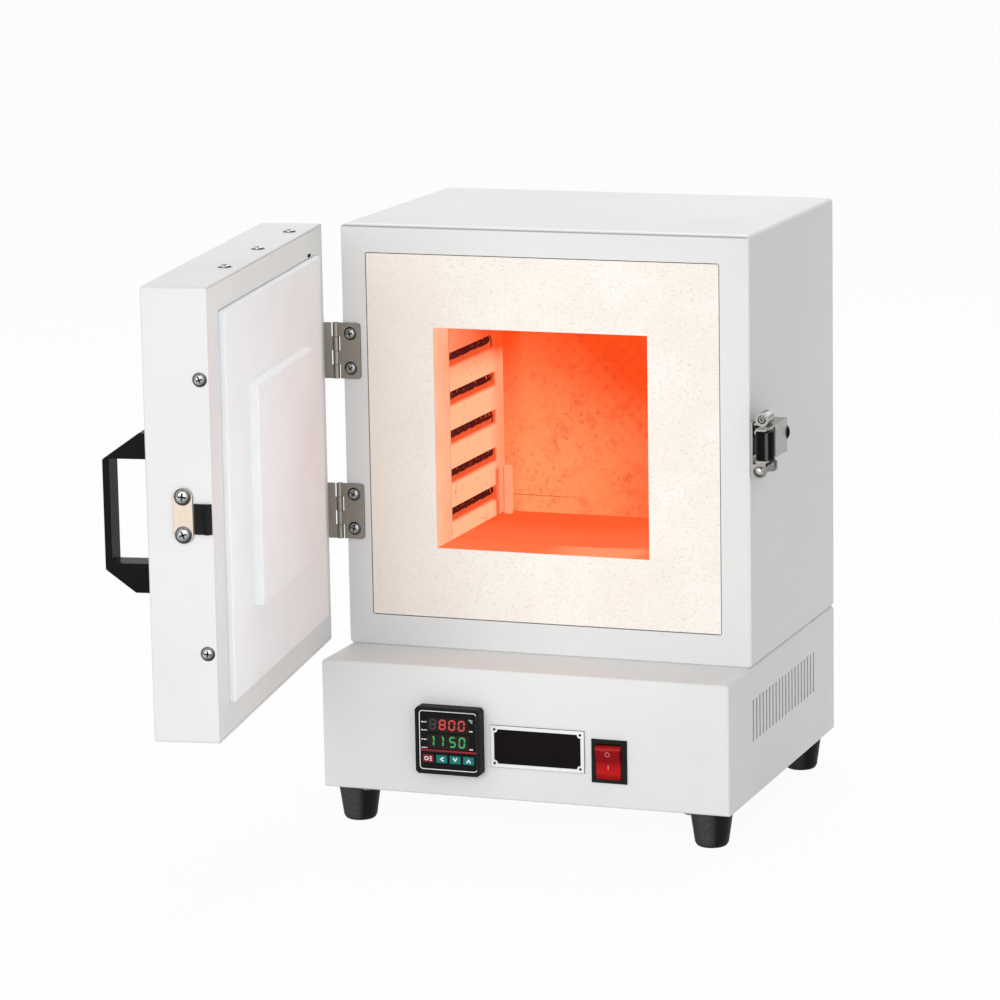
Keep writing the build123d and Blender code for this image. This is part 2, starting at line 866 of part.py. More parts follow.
with BuildPart() as solid_state_relay:
    with BuildSketch(level(sheet + sink_fin_height + sink_plate)):
        with Locations((sink_x, sink_y)):
            Rectangle(relay_width, relay_depth)
    extrude(amount=relay_height)
    chamfer(solid_state_relay.faces().sort_by(Axis.Z)[-1].edges(), relay_cover)
solid_state_relay.part.label = "solid_state_relay"
export_step(solid_state_relay.part, "parts/solid_state_relay.step")

with BuildPart() as terminal_block:
    with BuildSketch(level(sheet)):
        with Locations((terminal_x, terminal_y)):
            Rectangle(terminal_width, terminal_depth)
    extrude(amount=terminal_height)
    with BuildSketch(level(sheet + terminal_height)):
        with Locations((terminal_x, terminal_y)):
            with GridLocations(terminal_width / terminal_ways, 0, terminal_ways, 1):
                Rectangle(terminal_slot, terminal_depth)
    extrude(amount=-terminal_slot_depth, mode=Mode.SUBTRACT)
terminal_block.part.label = "terminal_block"
export_step(terminal_block.part, "parts/terminal_block.step")

# Hinges: four knuckles each, the cabinet's first and third from the top
knuckle = (hinge_height - 3 * knuckle_gap) / 4


def knuckle_cuts(first):
    return [
        hinge_height / 2 - k * (knuckle + knuckle_gap) - knuckle / 2 for k in (first, first + 2)
    ]


for name, rise in (("upper", hinge_upper), ("lower", hinge_lower)):
    hinge_z = base_height + rise

    with BuildPart() as box_leaf:
        with BuildSketch(facing(front_step)) as leaf_outline:
            with Locations((pin_x + leaf_width / 2, hinge_z)):
                Rectangle(leaf_width, hinge_height)
            fillet(leaf_outline.vertices().group_by(Axis.X)[-1], leaf_corner)
        extrude(amount=leaf)
        with BuildSketch(level(hinge_z - hinge_height / 2)):
            with Locations((pin_x, pin_y)):
                Circle(knuckle_diameter / 2)
        extrude(amount=hinge_height)
        for height in knuckle_cuts(1):
            with BuildSketch(level(hinge_z + height)):
                with Locations((pin_x, pin_y)):
                    Rectangle(knuckle_diameter + 2 * leaf_relief, knuckle_diameter + 2 * leaf_relief)
            extrude(amount=knuckle / 2 + knuckle_gap, both=True, mode=Mode.SUBTRACT)
        with BuildSketch(level(hinge_z)):
            with Locations((pin_x, pin_y)):
                Circle(hinge_pin / 2 + hinge_bore_fit)
        extrude(amount=hinge_height, both=True, mode=Mode.SUBTRACT)
    box_leaf.part.label = f"hinge_leaf_{name}_box"
    export_step(box_leaf.part, f"parts/hinge_leaf_{name}_box.step")

    with BuildPart() as door_leaf:
        with BuildSketch(swung(sideways(door_left))) as leaf_outline:
            with Locations((pin_y - door_leaf_width / 2, hinge_z)):
                Rectangle(door_leaf_width, hinge_height)
        extrude(amount=-leaf)
        with BuildSketch(swung(level(hinge_z - hinge_height / 2))):
            with Locations((pin_x, pin_y)):
                Circle(knuckle_diameter / 2)
        extrude(amount=hinge_height)
        for height in knuckle_cuts(0):
            with BuildSketch(swung(level(hinge_z + height))):
                with Locations((pin_x, pin_y)):
                    Rectangle(knuckle_diameter + 2 * leaf_relief, knuckle_diameter + 2 * leaf_relief)
            extrude(amount=knuckle / 2 + knuckle_gap, both=True, mode=Mode.SUBTRACT)
        with BuildSketch(swung(level(hinge_z))):
            with Locations((pin_x, pin_y)):
                Circle(hinge_pin / 2 + hinge_bore_fit)
        extrude(amount=hinge_height, both=True, mode=Mode.SUBTRACT)
    door_leaf.part.label = f"hinge_leaf_{name}_door"
    export_step(door_leaf.part, f"parts/hinge_leaf_{name}_door.step")

    with BuildPart() as pin:
        with BuildSketch(level(hinge_z)):
            with Locations((pin_x, pin_y)):
                Circle(hinge_pin / 2)
        extrude(amount=hinge_height / 2, both=True)
    pin.part.label = f"hinge_pin_{name}"
    export_step(pin.part, f"parts/hinge_pin_{name}.step")

hinge_heights = [
    base_height + rise + way * hinge_screw_spread / 2
    for rise in (hinge_upper, hinge_lower)
    for way in (-1, 1)
]
# Door: folded outer pan, inner frame that slides into it, board, plug and wool
with BuildPart() as door_outer_shell:
    with BuildSketch(swung(facing(door_back))):
        with Locations((door_x, door_z)):
            RectangleRounded(door_width, door_height, door_corner)
    extrude(amount=door_thickness)
    chamfer(door_outer_shell.faces().sort_by(door_out)[-1].edges(), rim_bevel)
    with BuildSketch(swung(facing(door_back))):
        with Locations((door_x, door_z)):
            RectangleRounded(door_width - 2 * sheet, door_height - 2 * sheet, door_corner - sheet)
    extrude(amount=door_thickness - sheet, mode=Mode.SUBTRACT)
door_outer_shell.part.label = "door_outer_shell"
export_step(door_outer_shell.part, "parts/door_outer_shell.step")

frame_width = door_width - 2 * (sheet + panel_gap)
frame_height = door_height - 2 * (sheet + panel_gap)
board_width = door_width - board_hinge - board_latch
board_height = door_height - board_bottom - board_top
board_x = door_left + board_hinge + board_width / 2
board_z = door_bottom + board_bottom + board_height / 2
with BuildPart() as door_inner_frame:
    with BuildSketch(swung(facing(door_back))):
        with Locations((door_x, door_z)):
            Rectangle(frame_width, frame_height)
            Rectangle(frame_width - 2 * sheet, frame_height - 2 * sheet, mode=Mode.SUBTRACT)
    extrude(amount=frame_return)
    with BuildSketch(swung(facing(door_back))):
        with Locations((door_x, door_z)):
            Rectangle(frame_width, frame_height)
        with Locations((board_x, board_z)):
            Rectangle(board_width + 2 * fascia_gap, board_height + 2 * fascia_gap, mode=Mode.SUBTRACT)
        with Locations((door_left + vent_hole_inset, door_top - vent_hole_drop)):
            Circle(vent_hole / 2, mode=Mode.SUBTRACT)
    extrude(amount=sheet)
door_inner_frame.part.label = "door_inner_frame"
export_step(door_inner_frame.part, "parts/door_inner_frame.step")

board_front = door_back + board_proud - board_thickness
with BuildPart() as door_board:
    with BuildSketch(swung(facing(door_back + board_proud))):
        with Locations((board_x, board_z)):
            Rectangle(board_width, board_height)
    extrude(amount=board_thickness)
    chamfer(door_board.faces().sort_by(door_out)[0].edges(), board_chamfer)
door_board.part.label = "door_board"
export_step(door_board.part, "parts/door_board.step")

with BuildPart() as door_plug:
    with BuildSketch(swung(facing(door_back + board_proud))):
        with Locations((chamber_x, chamber_z)):
            Rectangle(chamber_width - 2 * plug_clearance, chamber_height - 2 * plug_clearance)
    extrude(amount=-plug_proud)
    chamfer(door_plug.faces().sort_by(door_out)[0].edges(), plug_chamfer)
door_plug.part.label = "door_plug"
export_step(door_plug.part, "parts/door_plug.step")

with BuildPart() as door_wool:
    with BuildSketch(swung(facing(board_front - soft_gap))):
        with Locations((door_x, door_z)):
            Rectangle(
                frame_width - 2 * (sheet + soft_gap),
                frame_height - 2 * (sheet + soft_gap),
            )
    extrude(amount=board_front - door_front - sheet - 2 * soft_gap)
door_wool.part.label = "door_wool"
export_step(door_wool.part, "parts/door_wool.step")

# Bridge handle on the door's outer face
handle_low = door_bottom + handle_bottom
handle_high = handle_low + handle_height
bar_out = door_front - handle_reach
bar_in = bar_out + handle_bar
with BuildPart() as door_handle:
    with BuildSketch(swung(sideways(door_right - handle_from_latch))) as handle_outline:
        with BuildLine():
            Polyline(
                (door_front, handle_low),
                (door_front - handle_flat_low, handle_low),
                (bar_out, handle_low + handle_slope_low),
                (bar_out, handle_high - handle_slope_high),
                (door_front - handle_flat_high, handle_high),
                (door_front, handle_high),
                close=True,
            )
        make_face()
        fillet(handle_outline.vertices().group_by(Axis.X)[:-1], handle_corner)
        with BuildLine():
            Polyline(
                (door_front + 1, handle_low + handle_foot_low),
                (bar_in, handle_low + handle_foot_low),
                (bar_in, handle_high - handle_foot_high),
                (door_front + 1, handle_high - handle_foot_high),
                close=True,
            )
        make_face(mode=Mode.SUBTRACT)
    extrude(amount=-handle_width)
door_handle.part.label = "door_handle"
export_step(door_handle.part, "parts/door_handle.step")

# Screws that hold the pan's edges to the inner frame and the hinge leaves to the pan
edge_spots = [door_left + edge_screw_first + i * edge_screw_pitch for i in range(3)]
side_spots = [door_bottom + edge_screw_low, door_bottom + edge_screw_low + edge_screw_span]
with BuildPart() as door_screws:
    with BuildSketch(swung(sideways(door_left - leaf))):
        with Locations(*[(pin_y - door_screw_from_pin, z) for z in hinge_heights]):
            RegularPolygon(head_diameter / 2, head_sides)
    extrude(amount=-head_height)
    with BuildSketch(swung(level(door_top))):
        with Locations(*[(x, door_back - edge_screw_top_depth) for x in edge_spots]):
            RegularPolygon(head_diameter / 2, head_sides)
    extrude(amount=head_height)
    with BuildSketch(swung(level(door_bottom))):
        with Locations(*[(x, door_back - edge_screw_top_depth) for x in edge_spots]):
            RegularPolygon(head_diameter / 2, head_sides)
    extrude(amount=-flush_head)
    with BuildSketch(swung(sideways(door_right))):
        with Locations(*[(door_back - edge_screw_side_depth, z) for z in side_spots]):
            RegularPolygon(head_diameter / 2, head_sides)
    extrude(amount=head_height)
door_screws.part.label = "door_screws"
export_step(door_screws.part, "parts/door_screws.step")

# Strike: plate with a tongue that the latch's roller rides over
strike_y = door_back - strike_from_face
strike_z = door_bottom + strike_rise
with BuildPart() as strike_plate:
    with BuildSketch(swung(sideways(door_right))):
        with Locations((strike_y, strike_z)):
            SlotOverall(strike_height, strike_width, rotation=90)
    extrude(amount=strike_thickness)
strike_plate.part.label = "strike_plate"
export_step(strike_plate.part, "parts/strike_plate.step")

ridge_y = door_back - ridge_from_face
with BuildPart() as strike_tongue:
    with BuildSketch(swung(level(door_bottom + tongue_rise))):
        with BuildLine():
            Polyline(
                (door_right, door_back - tongue_start),
                (door_right + tongue_heel, door_back - tongue_start),
                (door_right + tongue_heel, ridge_y - ridge_width / 2 - ridge_height + tongue_heel),
                (door_right + ridge_height, ridge_y - ridge_width / 2),
                (door_right + ridge_height, ridge_y + ridge_width / 2),
                (door_right + ridge_foot, door_back - tongue_end),
                (door_right, door_back - tongue_end),
                close=True,
            )
        make_face()
    extrude(amount=tongue_height / 2, both=True)
strike_tongue.part.label = "strike_tongue"
export_step(strike_tongue.part, "parts/strike_tongue.step")

with BuildPart() as strike_screws:
    with BuildSketch(swung(sideways(door_right + strike_thickness))):
        with Locations((strike_y, strike_z)):
            with GridLocations(0, strike_screw_spread, 1, 2):
                RegularPolygon(strike_head / 2, head_sides)
    extrude(amount=head_height)
strike_screws.part.label = "strike_screws"
export_step(strike_screws.part, "parts/strike_screws.step")

# Latch base: plate on the cabinet's side with two lugs for the pivot
latch_front = front_step + latch_plate_front
latch_low = base_height + latch_plate_bottom
plate_face = half_width + latch_plate
lug_back = latch_front + lug_span - lug
latch_screw_y = latch_front + latch_screw_first + latch_screw_pitch / 2
with BuildPart() as latch_base:
    with BuildSketch(sideways(half_width)):
        with Locations((latch_front + latch_plate_depth / 2, latch_low + latch_plate_height / 2)):
            Rectangle(latch_plate_depth, latch_plate_height)
    extrude(amount=latch_plate)
    for y in (latch_front, lug_back):
        with BuildSketch(facing(y)) as lug_outline:
            with Locations((half_width + lug_reach / 2, latch_low + lug_height / 2)):
                Rectangle(lug_reach, lug_height)
            fillet(lug_outline.vertices().group_by(Axis.X)[-1], lug_round)
            with Locations((pivot_x, pivot_z)):
                Circle(pivot_pin / 2 + pin_fit, mode=Mode.SUBTRACT)
        extrude(amount=-lug)
latch_base.part.label = "latch_base"
export_step(latch_base.part, "parts/latch_base.step")

with BuildPart() as latch_pivot_pin:
    with BuildSketch(facing(latch_front - pivot_gap)):
        with Locations((pivot_x, pivot_z)):
            Circle(pivot_cap / 2)
    extrude(amount=pivot_cap_length)
    chamfer(latch_pivot_pin.faces().sort_by(Axis.Y)[0].edges(), pivot_gap)
    with BuildSketch(facing(latch_front - pivot_gap)):
        with Locations((pivot_x, pivot_z)):
            Circle(pivot_pin / 2)
    extrude(amount=-pivot_gap - lug_span - pivot_tail)
latch_pivot_pin.part.label = "latch_pivot_pin"
export_step(latch_pivot_pin.part, "parts/latch_pivot_pin.step")

# Pan-head screws of the base, the back panels, the hinges and the latch
with BuildPart() as cabinet_screws:
    with BuildSketch(level(0)):
        for x in (-half_width + base_screw_from_side, half_width - base_screw_from_side):
            for y in (base_screw_from_edge, body_depth - base_screw_from_edge):
                with Locations((x, y)):
                    RegularPolygon(head_diameter / 2, head_sides)
    extrude(amount=-head_height)
    with BuildSketch(facing(body_depth)):
        for x in (-half_width + back_screw_inset, half_width - back_screw_inset):
            for z in (
                back_screw_inset,
                base_height - back_screw_inset,
                base_height + back_screw_inset,
                cabinet_middle,
                base_height + cabinet_height - back_screw_inset,
            ):
                with Locations((x, z)):
                    RegularPolygon(head_diameter / 2, head_sides)
    extrude(amount=-head_height)
    with BuildSketch(facing(front_step - leaf)):
        with Locations(*[(pin_x + hinge_screw_from_pin, z) for z in hinge_heights]):
            RegularPolygon(head_diameter / 2, head_sides)
    extrude(amount=head_height)
    with BuildSketch(sideways(plate_face)):
        with Locations((latch_screw_y, base_height + latch_screw_rise)):
            with GridLocations(latch_screw_pitch, 0, 2, 1):
                RegularPolygon(head_diameter / 2, head_sides)
    extrude(amount=head_height)
cabinet_screws.part.label = "cabinet_screws"
export_step(cabinet_screws.part, "parts/cabinet_screws.step")

# Latch arm: folded box on two legs, a fork for the roller and a curled grip
arm_low = base_height + arm_bottom
arm_high = arm_low + arm_height
arm_right = half_width + arm_out
arm_left = half_width + arm_inner
arm_near = front_step + arm_front
arm_far = arm_near + arm_depth
leg_front = latch_front + lug + arm_leg_gap
leg_back = lug_back - arm_leg_gap - latch_sheet
barrel_x = half_width + barrel_out
barrel_z = arm_high + barrel_diameter / 2 - barrel_weld
barrel_near = front_step - barrel_front
with BuildPart() as latch_arm:
    with BuildSketch(facing(arm_near)):
        with Locations(((arm_left + arm_right) / 2, (arm_low + arm_high) / 2)):
            Rectangle(arm_right - arm_left, arm_height)
            with Locations((-latch_sheet, 0)):
                Rectangle(arm_right - arm_left, arm_height - 2 * latch_sheet, mode=Mode.SUBTRACT)
    extrude(amount=-arm_depth)
    with BuildSketch(facing(arm_far)):
        with Locations(((arm_left + arm_right) / 2, (arm_low + arm_high) / 2)):
            Rectangle(arm_right - arm_left, arm_height)
    extrude(amount=latch_sheet)
    for z in (arm_low, arm_high - latch_sheet):
        with BuildSketch(level(z)) as prong_outline:
            with Locations((arm_right - prong_width / 2, arm_near - prong_reach / 2)):
                Rectangle(prong_width, prong_reach)
            with Locations((roller_x, roller_y)):
                Circle(roller_pin / 2 + pin_fit, mode=Mode.SUBTRACT)
        extrude(amount=latch_sheet)
    for y in (leg_front, leg_back):
        with BuildSketch(facing(y)):
            with Locations((pivot_x, (pivot_z + arm_low) / 2)):
                Rectangle(arm_leg_width, arm_low - pivot_z)
            with Locations((pivot_x, pivot_z)):
                Circle(arm_leg_width / 2)
                Circle(pivot_pin / 2 + pin_fit, mode=Mode.SUBTRACT)
        extrude(amount=-latch_sheet)
    with BuildSketch(facing(barrel_near)):
        with Locations((barrel_x, barrel_z)):
            Circle(barrel_diameter / 2)
            Circle(barrel_bore / 2, mode=Mode.SUBTRACT)
    extrude(amount=-barrel_length)
latch_arm.part.label = "latch_arm"
export_step(latch_arm.part, "parts/latch_arm.step")

with BuildPart() as latch_grip_pin:
    with BuildSketch(facing(barrel_near)):
        with Locations((barrel_x, barrel_z)):
            Circle(barrel_bore / 2 - barrel_pin_fit)
    extrude(amount=-barrel_length)
latch_grip_pin.part.label = "latch_grip_pin"
export_step(latch_grip_pin.part, "parts/latch_grip_pin.step")

with BuildPart() as latch_roller_pin:
    with BuildSketch(level(arm_low)):
        with Locations((roller_x, roller_y)):
            Circle(roller_pin / 2)
    extrude(amount=arm_height)
latch_roller_pin.part.label = "latch_roller_pin"
export_step(latch_roller_pin.part, "parts/latch_roller_pin.step")

with BuildPart() as latch_roller:
    with BuildSketch(level(arm_low + latch_sheet + roller_gap)):
        with Locations((roller_x, roller_y)):
            Circle(roller_diameter / 2)
    extrude(amount=arm_height - 2 * (latch_sheet + roller_gap))
    chamfer(latch_roller.edges().filter_by(GeomType.CIRCLE), roller_edge)
    with BuildSketch(level(arm_low)):
        with Locations((roller_x, roller_y)):
            Circle(roller_pin / 2 + pin_fit)
    extrude(amount=arm_height, mode=Mode.SUBTRACT)
latch_roller.part.label = "latch_roller"
export_step(latch_roller.part, "parts/latch_roller.step")

with BuildPart() as latch_end_cap:
    with BuildSketch(facing(arm_far)):
        with Locations((half_width + dome_out, base_height + dome_rise)):
            Circle(dome_diameter / 2)
    extrude(amount=-dome_length)
    chamfer(latch_end_cap.faces().sort_by(Axis.Y)[-1].edges(), dome_slope, dome_diameter / 2 - dome_flat)
latch_end_cap.part.label = "latch_end_cap"
export_step(latch_end_cap.part, "parts/latch_end_cap.step")

# Torsion spring round the pivot: one leg on the plate, the other under the arm
spring_radius = pivot_pin / 2 + spring_gap + spring_wire / 2
spring_start = leg_front + latch_sheet + spring_end_room
with BuildPart() as latch_spring:
    with BuildLine() as spring_path:
        stations = []
        for k in range(2 * spring_curls + 2):
            turned = k * math.pi if k <= 2 * spring_curls else (k - 0.5) * math.pi
            spot = Vector(
                pivot_x + home_x + spring_radius * math.sin(turned),
                spring_start + home_y + spring_pitch * turned / (2 * math.pi),
                pivot_z + home_z - spring_radius * math.cos(turned),
            )
            lean = 0 if k in (0, 2 * spring_curls + 1) else spring_pitch / (2 * math.pi)
            way = Vector(spring_radius * math.cos(turned), lean, spring_radius * math.sin(turned))
            stations.append((spot, way.normalized()))
        first = stations[0][0]
        last = stations[-1][0]
        Line((plate_face + home_x, first.Y, first.Z), first)
        for (start, start_way), (end, end_way) in zip(stations, stations[1:]):
            biarc(start, start_way, end, end_way)
        Line(last, (last.X, last.Y, arm_low + home_z - spring_leg_room))
    with BuildSketch(Plane(spring_path.line @ 0, x_dir=(0, 1, 0), z_dir=(1, 0, 0))):
        RegularPolygon(spring_wire / 2, spring_sides)
    sweep(path=spring_path.line)
spring_apart = math.pi * spring_radius
print("spring: least self gap", round(least_gap(spring_path.wires()[0], spring_wire, spring_apart), 2))
latch_spring.part.label = "latch_spring"
export_step(latch_spring.part, "parts/latch_spring.step")
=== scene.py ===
import math

import bmesh
import bpy
from mathutils import Matrix, Vector, noise
from mathutils.bvhtree import BVHTree


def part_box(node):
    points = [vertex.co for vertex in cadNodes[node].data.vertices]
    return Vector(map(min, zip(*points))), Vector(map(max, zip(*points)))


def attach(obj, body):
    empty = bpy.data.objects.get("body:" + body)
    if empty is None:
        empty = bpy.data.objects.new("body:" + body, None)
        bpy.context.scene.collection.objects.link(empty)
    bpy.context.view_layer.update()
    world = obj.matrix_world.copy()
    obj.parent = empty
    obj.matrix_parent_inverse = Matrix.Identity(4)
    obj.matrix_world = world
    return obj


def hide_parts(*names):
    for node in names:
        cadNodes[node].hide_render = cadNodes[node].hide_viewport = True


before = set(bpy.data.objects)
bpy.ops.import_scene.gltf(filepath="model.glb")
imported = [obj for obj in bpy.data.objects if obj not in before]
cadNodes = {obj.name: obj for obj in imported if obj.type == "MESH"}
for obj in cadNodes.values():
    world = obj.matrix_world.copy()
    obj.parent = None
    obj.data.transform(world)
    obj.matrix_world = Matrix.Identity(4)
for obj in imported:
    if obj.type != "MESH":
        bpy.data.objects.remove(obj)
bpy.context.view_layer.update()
mm = 0.001
# Millimetres within which points are one point, and within which a radius is the axis itself
weld, onAxis = 0.01, 1e-6
print("frame loaded:", len(cadNodes), "nodes")

# The base cover's front bottom middle is where the oven's own measures start
coverLow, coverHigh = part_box("base_cover")
home = Vector(((coverLow.x + coverHigh.x) / 2, coverLow.y, coverLow.z))
alongX = Vector((1, 0, 0))
alongY = Vector((0, 1, 0))
alongZ = Vector((0, 0, 1))


def spot(x, y, z):
    return home + Vector((x, y, z)) * mm


def nearMiddle(low, high):
    return Vector(((low.x + high.x) / 2, low.y, (low.z + high.z) / 2))


def tone(red, green, blue):
    parts = [v / 255 for v in (red, green, blue)]
    linear = [v / 12.92 if v <= 0.04045 else ((v + 0.055) / 1.055) ** 2.4 for v in parts]
    return (*linear, 1.0)


# One value on its way through a shader, so that sums are written as sums
class Channel:
    def __init__(self, graph, socket):
        self.graph = graph
        self.socket = socket

    def calc(self, operation, first, second=None, clamp=False):
        values = {0: first} if second is None else {0: first, 1: second}
        settings = {"operation": operation, "use_clamp": clamp}
        return self.graph.node("ShaderNodeMath", settings, values)

    def __add__(self, other):
        return self.calc("ADD", self, other)

    def __sub__(self, other):
        return self.calc("SUBTRACT", self, other)

    def __rsub__(self, other):
        return self.calc("SUBTRACT", other, self)

    def __mul__(self, other):
        return self.calc("MULTIPLY", self, other)

    def __truediv__(self, other):
        return self.calc("DIVIDE", self, other)

    def __lt__(self, other):
        return self.calc("LESS_THAN", self, other)

    def __gt__(self, other):
        return self.calc("GREATER_THAN", self, other)

    def __abs__(self):
        return self.calc("ABSOLUTE", self)

    def clamped(self):
        return self.calc("ADD", self, 0, clamp=True)

    def sine(self):
        return self.calc("SINE", self)

    __radd__ = __add__
    __rmul__ = __mul__


class Graph:
    def __init__(self, owner):
        owner.use_nodes = True
        self.owner = owner
        self.tree = owner.node_tree
        self.tree.nodes.clear()

    def node(self, kind, settings=None, values=None, out=0):
        made = self.tree.nodes.new(kind)
        for key, value in (settings or {}).items():
            if key == "stops":
                self.setStops(made.color_ramp, value)
            else:
                setattr(made, key, value)
        for key, value in (values or {}).items():
            if isinstance(value, Channel):
                self.tree.links.new(value.socket, made.inputs[key])
            else:
                made.inputs[key].default_value = value
        return Channel(self, made.outputs[out] if made.outputs else None)

    def setStops(self, ramp, stops):
        while len(ramp.elements) < len(stops):
            ramp.elements.new(1)
        for element, (position, colour) in zip(ramp.elements, stops):
            element.position = position
            element.color = colour

    def axes(self, where):
        split = self.node("ShaderNodeSeparateXYZ", {}, {0: where})
        outputs = split.socket.node.outputs
        return [Channel(self, outputs[i]) for i in range(3)]

    def vector(self, operation, values, out=0):
        return self.node("ShaderNodeVectorMath", {"operation": operation}, values, out)

    def noise(self, where, scale, detail=2.0, rough=0.5, out=0):
        values = {"Vector": where, "Scale": scale, "Detail": detail, "Roughness": rough}
        return self.node("ShaderNodeTexNoise", {}, values, out)

    def cells(self, where, scale, feature="F1"):
        values = {"Vector": where, "Scale": scale}
        return self.node("ShaderNodeTexVoronoi", {"feature": feature}, values)

    def cracks(self, where, scale, width):
        drift = self.noise(where, crackLook["driftSize"], out=1)
        drift = self.vector("SCALE", {0: drift, 3: crackLook["drift"] * mm})
        lines = self.cells(self.vector("ADD", {0: where, 1: drift}), scale, "DISTANCE_TO_EDGE")
        return self.ease(lines, width, width * crackLook["core"])

    def mix(self, factor, first, second, way="MIX"):
        settings = {"data_type": "RGBA", "blend_type": way}
        return self.node("ShaderNodeMix", settings, {0: factor, 6: first, 7: second}, out=2)

    def ease(self, value, start, end, way="SMOOTHSTEP"):
        settings = {"interpolation_type": way}
        return self.node("ShaderNodeMapRange", settings, {0: value, 1: start, 2: end})

    # A fade between two distances from a place, in millimetres
    def fade(self, value, base, start, end):
        return self.ease(value, base + start * mm, base + end * mm)

    # The parts of a noise that lie between two heights
    def patches(self, where, scale, detail, start, end, rough=0.5):
        return self.ease(self.noise(where, scale, detail, rough), start, end)

    def facing(self, way, start, end, change="SMOOTHSTEP"):
        normal = self.node("ShaderNodeNewGeometry", out=1)
        toward = self.vector("DOT_PRODUCT", {0: normal, 1: tuple(Vector(way).normalized())}, out=1)
        return self.ease(toward, start, end, change)

    def rounded(self, radius):
        return self.node("ShaderNodeBevel", {"samples": 6}, {"Radius": radius * mm})

    def bump(self, height, strength, depth, normal=None):
        values = {"Height": height, "Strength": strength, "Distance": depth * mm}
        if normal is not None:
            values["Normal"] = normal
        return self.node("ShaderNodeBump", {}, values)

    def surface(self, values):
        shader = self.node("ShaderNodeBsdfPrincipled", {}, values)
        self.node("ShaderNodeOutputMaterial", {}, {"Surface": shader})
        return self.owner

    # One where the camera, a mirror or a clear piece sees this surface, else nought
    def shownPlainly(self):
        outputs = self.node("ShaderNodeLightPath").socket.node.outputs
        names = ("Is Camera Ray", "Is Glossy Ray", "Is Transmission Ray")
        camera, glossy, through = [Channel(self, outputs[name]) for name in names]
        return (camera + glossy + through).clamped()


def newGraph(name):
    g = Graph(bpy.data.materials.new(name))
    return g, g.node("ShaderNodeTexCoord", out=3)


# How hair cracks wander, and how much of their width is dark
crackLook = {"driftSize": 60, "drift": 9, "core": 0.3}

# Powder coat: fine orange peel and faint sparkle. The cabinet's top front fold has a
# painted highlight, a white strip on top, and a dark line under it.
paintLook = {
    "colour": tone(231, 232, 231), "shade": tone(227, 228, 228), "cloud": (9, 3, 0.35, 0.65),
    "fleck": tone(217, 219, 220), "flecks": (0.66, 0.8), "fleckShare": 0.5,
    "edge": tone(255, 255, 255), "seam": tone(150, 151, 150), "flat": (0.9, 0.99), "margin": 1,
    "crown": 12, "highlightDrop": 3, "seamDrop": 1.2, "seamFade": (0.9, 0.4), "seamShare": 0.9,
    "roughness": 0.36, "peelRough": 0.16, "peel": (520, 2), "grain": (1500, 1), "grainBump": 0.6,
    "bump": (0.22, 0.12), "fold": 0.3,
}


def whitePaint():
    look = paintLook
    g, where = newGraph("whitePowderCoat")
    peel = g.noise(where, *look["peel"])
    grain = g.noise(where, *look["grain"])
    colour = g.mix(g.patches(where, *look["cloud"]), look["shade"], look["colour"])
    colour = g.mix(g.ease(grain, *look["flecks"]) * look["fleckShare"], colour, look["fleck"])
    front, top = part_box("cabinet_shell")[0].y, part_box("cabinet_shell")[1].z
    x, y, z = g.axes(where)
    onCabinet = y > front - look["margin"] * mm
    # Painted highlight: the top face's strip along the cabinet's front fold is mixed to white
    crown = g.facing(alongZ, *look["flat"]) * g.fade(y - front, 0, look["crown"], 0) * onCabinet
    colour = g.mix(crown * (z > top - look["highlightDrop"] * mm), colour, look["edge"])
    seam = g.fade(abs(z - (top - look["seamDrop"] * mm)), 0, *look["seamFade"])
    seam = seam * g.facing(-alongY, *look["flat"]) * onCabinet
    colour = g.mix(seam * look["seamShare"], colour, look["seam"])
    return g.surface({
        "Base Color": colour,
        "Roughness": look["roughness"] + peel * look["peelRough"],
        "Normal": g.bump(peel + grain * look["grainBump"], *look["bump"], g.rounded(look["fold"])),
    })


# Pressed ceramic fibre board, which the fascia and the door's board share
fibreLook = {
    "stretch": (1, 1, 1.6), "fibre": (420, 4, 0.7), "blotches": (26, 4, 0.2, 0.8, 0.6),
    "poreSize": 420, "poreFade": (0.2, 0.08), "poreAreas": (60, 3, 0.46, 0.62),
    "specks": (0.5, 0.72), "speckShare": 0.8, "poreDepth": 1.5,
}


def boardPattern(g, where, look):
    fibre = g.noise(g.vector("MULTIPLY", {0: where, 1: fibreLook["stretch"]}), *fibreLook["fibre"])
    pores = g.ease(g.cells(where, fibreLook["poreSize"]), *fibreLook["poreFade"])
    pores = pores * g.patches(where, *fibreLook["poreAreas"])
    colour = g.mix(g.patches(where, *fibreLook["blotches"]), look["warm"], look["cream"])
    specks = g.ease(fibre, *fibreLook["specks"]) * fibreLook["speckShare"]
    colour = g.mix(specks, colour, look["speck"])
    colour = g.mix(pores * look["speckle"], colour, look["pit"])
    return colour, fibre - pores * fibreLook["poreDepth"]


def chamberBox():
    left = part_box("chamber_left_wall")[1]
    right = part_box("chamber_right_wall")[0]
    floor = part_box("chamber_floor")[1]
    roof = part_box("chamber_roof")[0]
    return {
        "x": (left.x + right.x) / 2,
        "z": (floor.z + roof.z) / 2,
        "width": right.x - left.x,
        "height": roof.z - floor.z,
        "front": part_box("chamber_floor")[0].y,
        "back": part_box("chamber_back_wall")[0].y,
        "left": left.x,
        "right": right.x,
        "bottom": floor.z,
        "top": roof.z,
    }
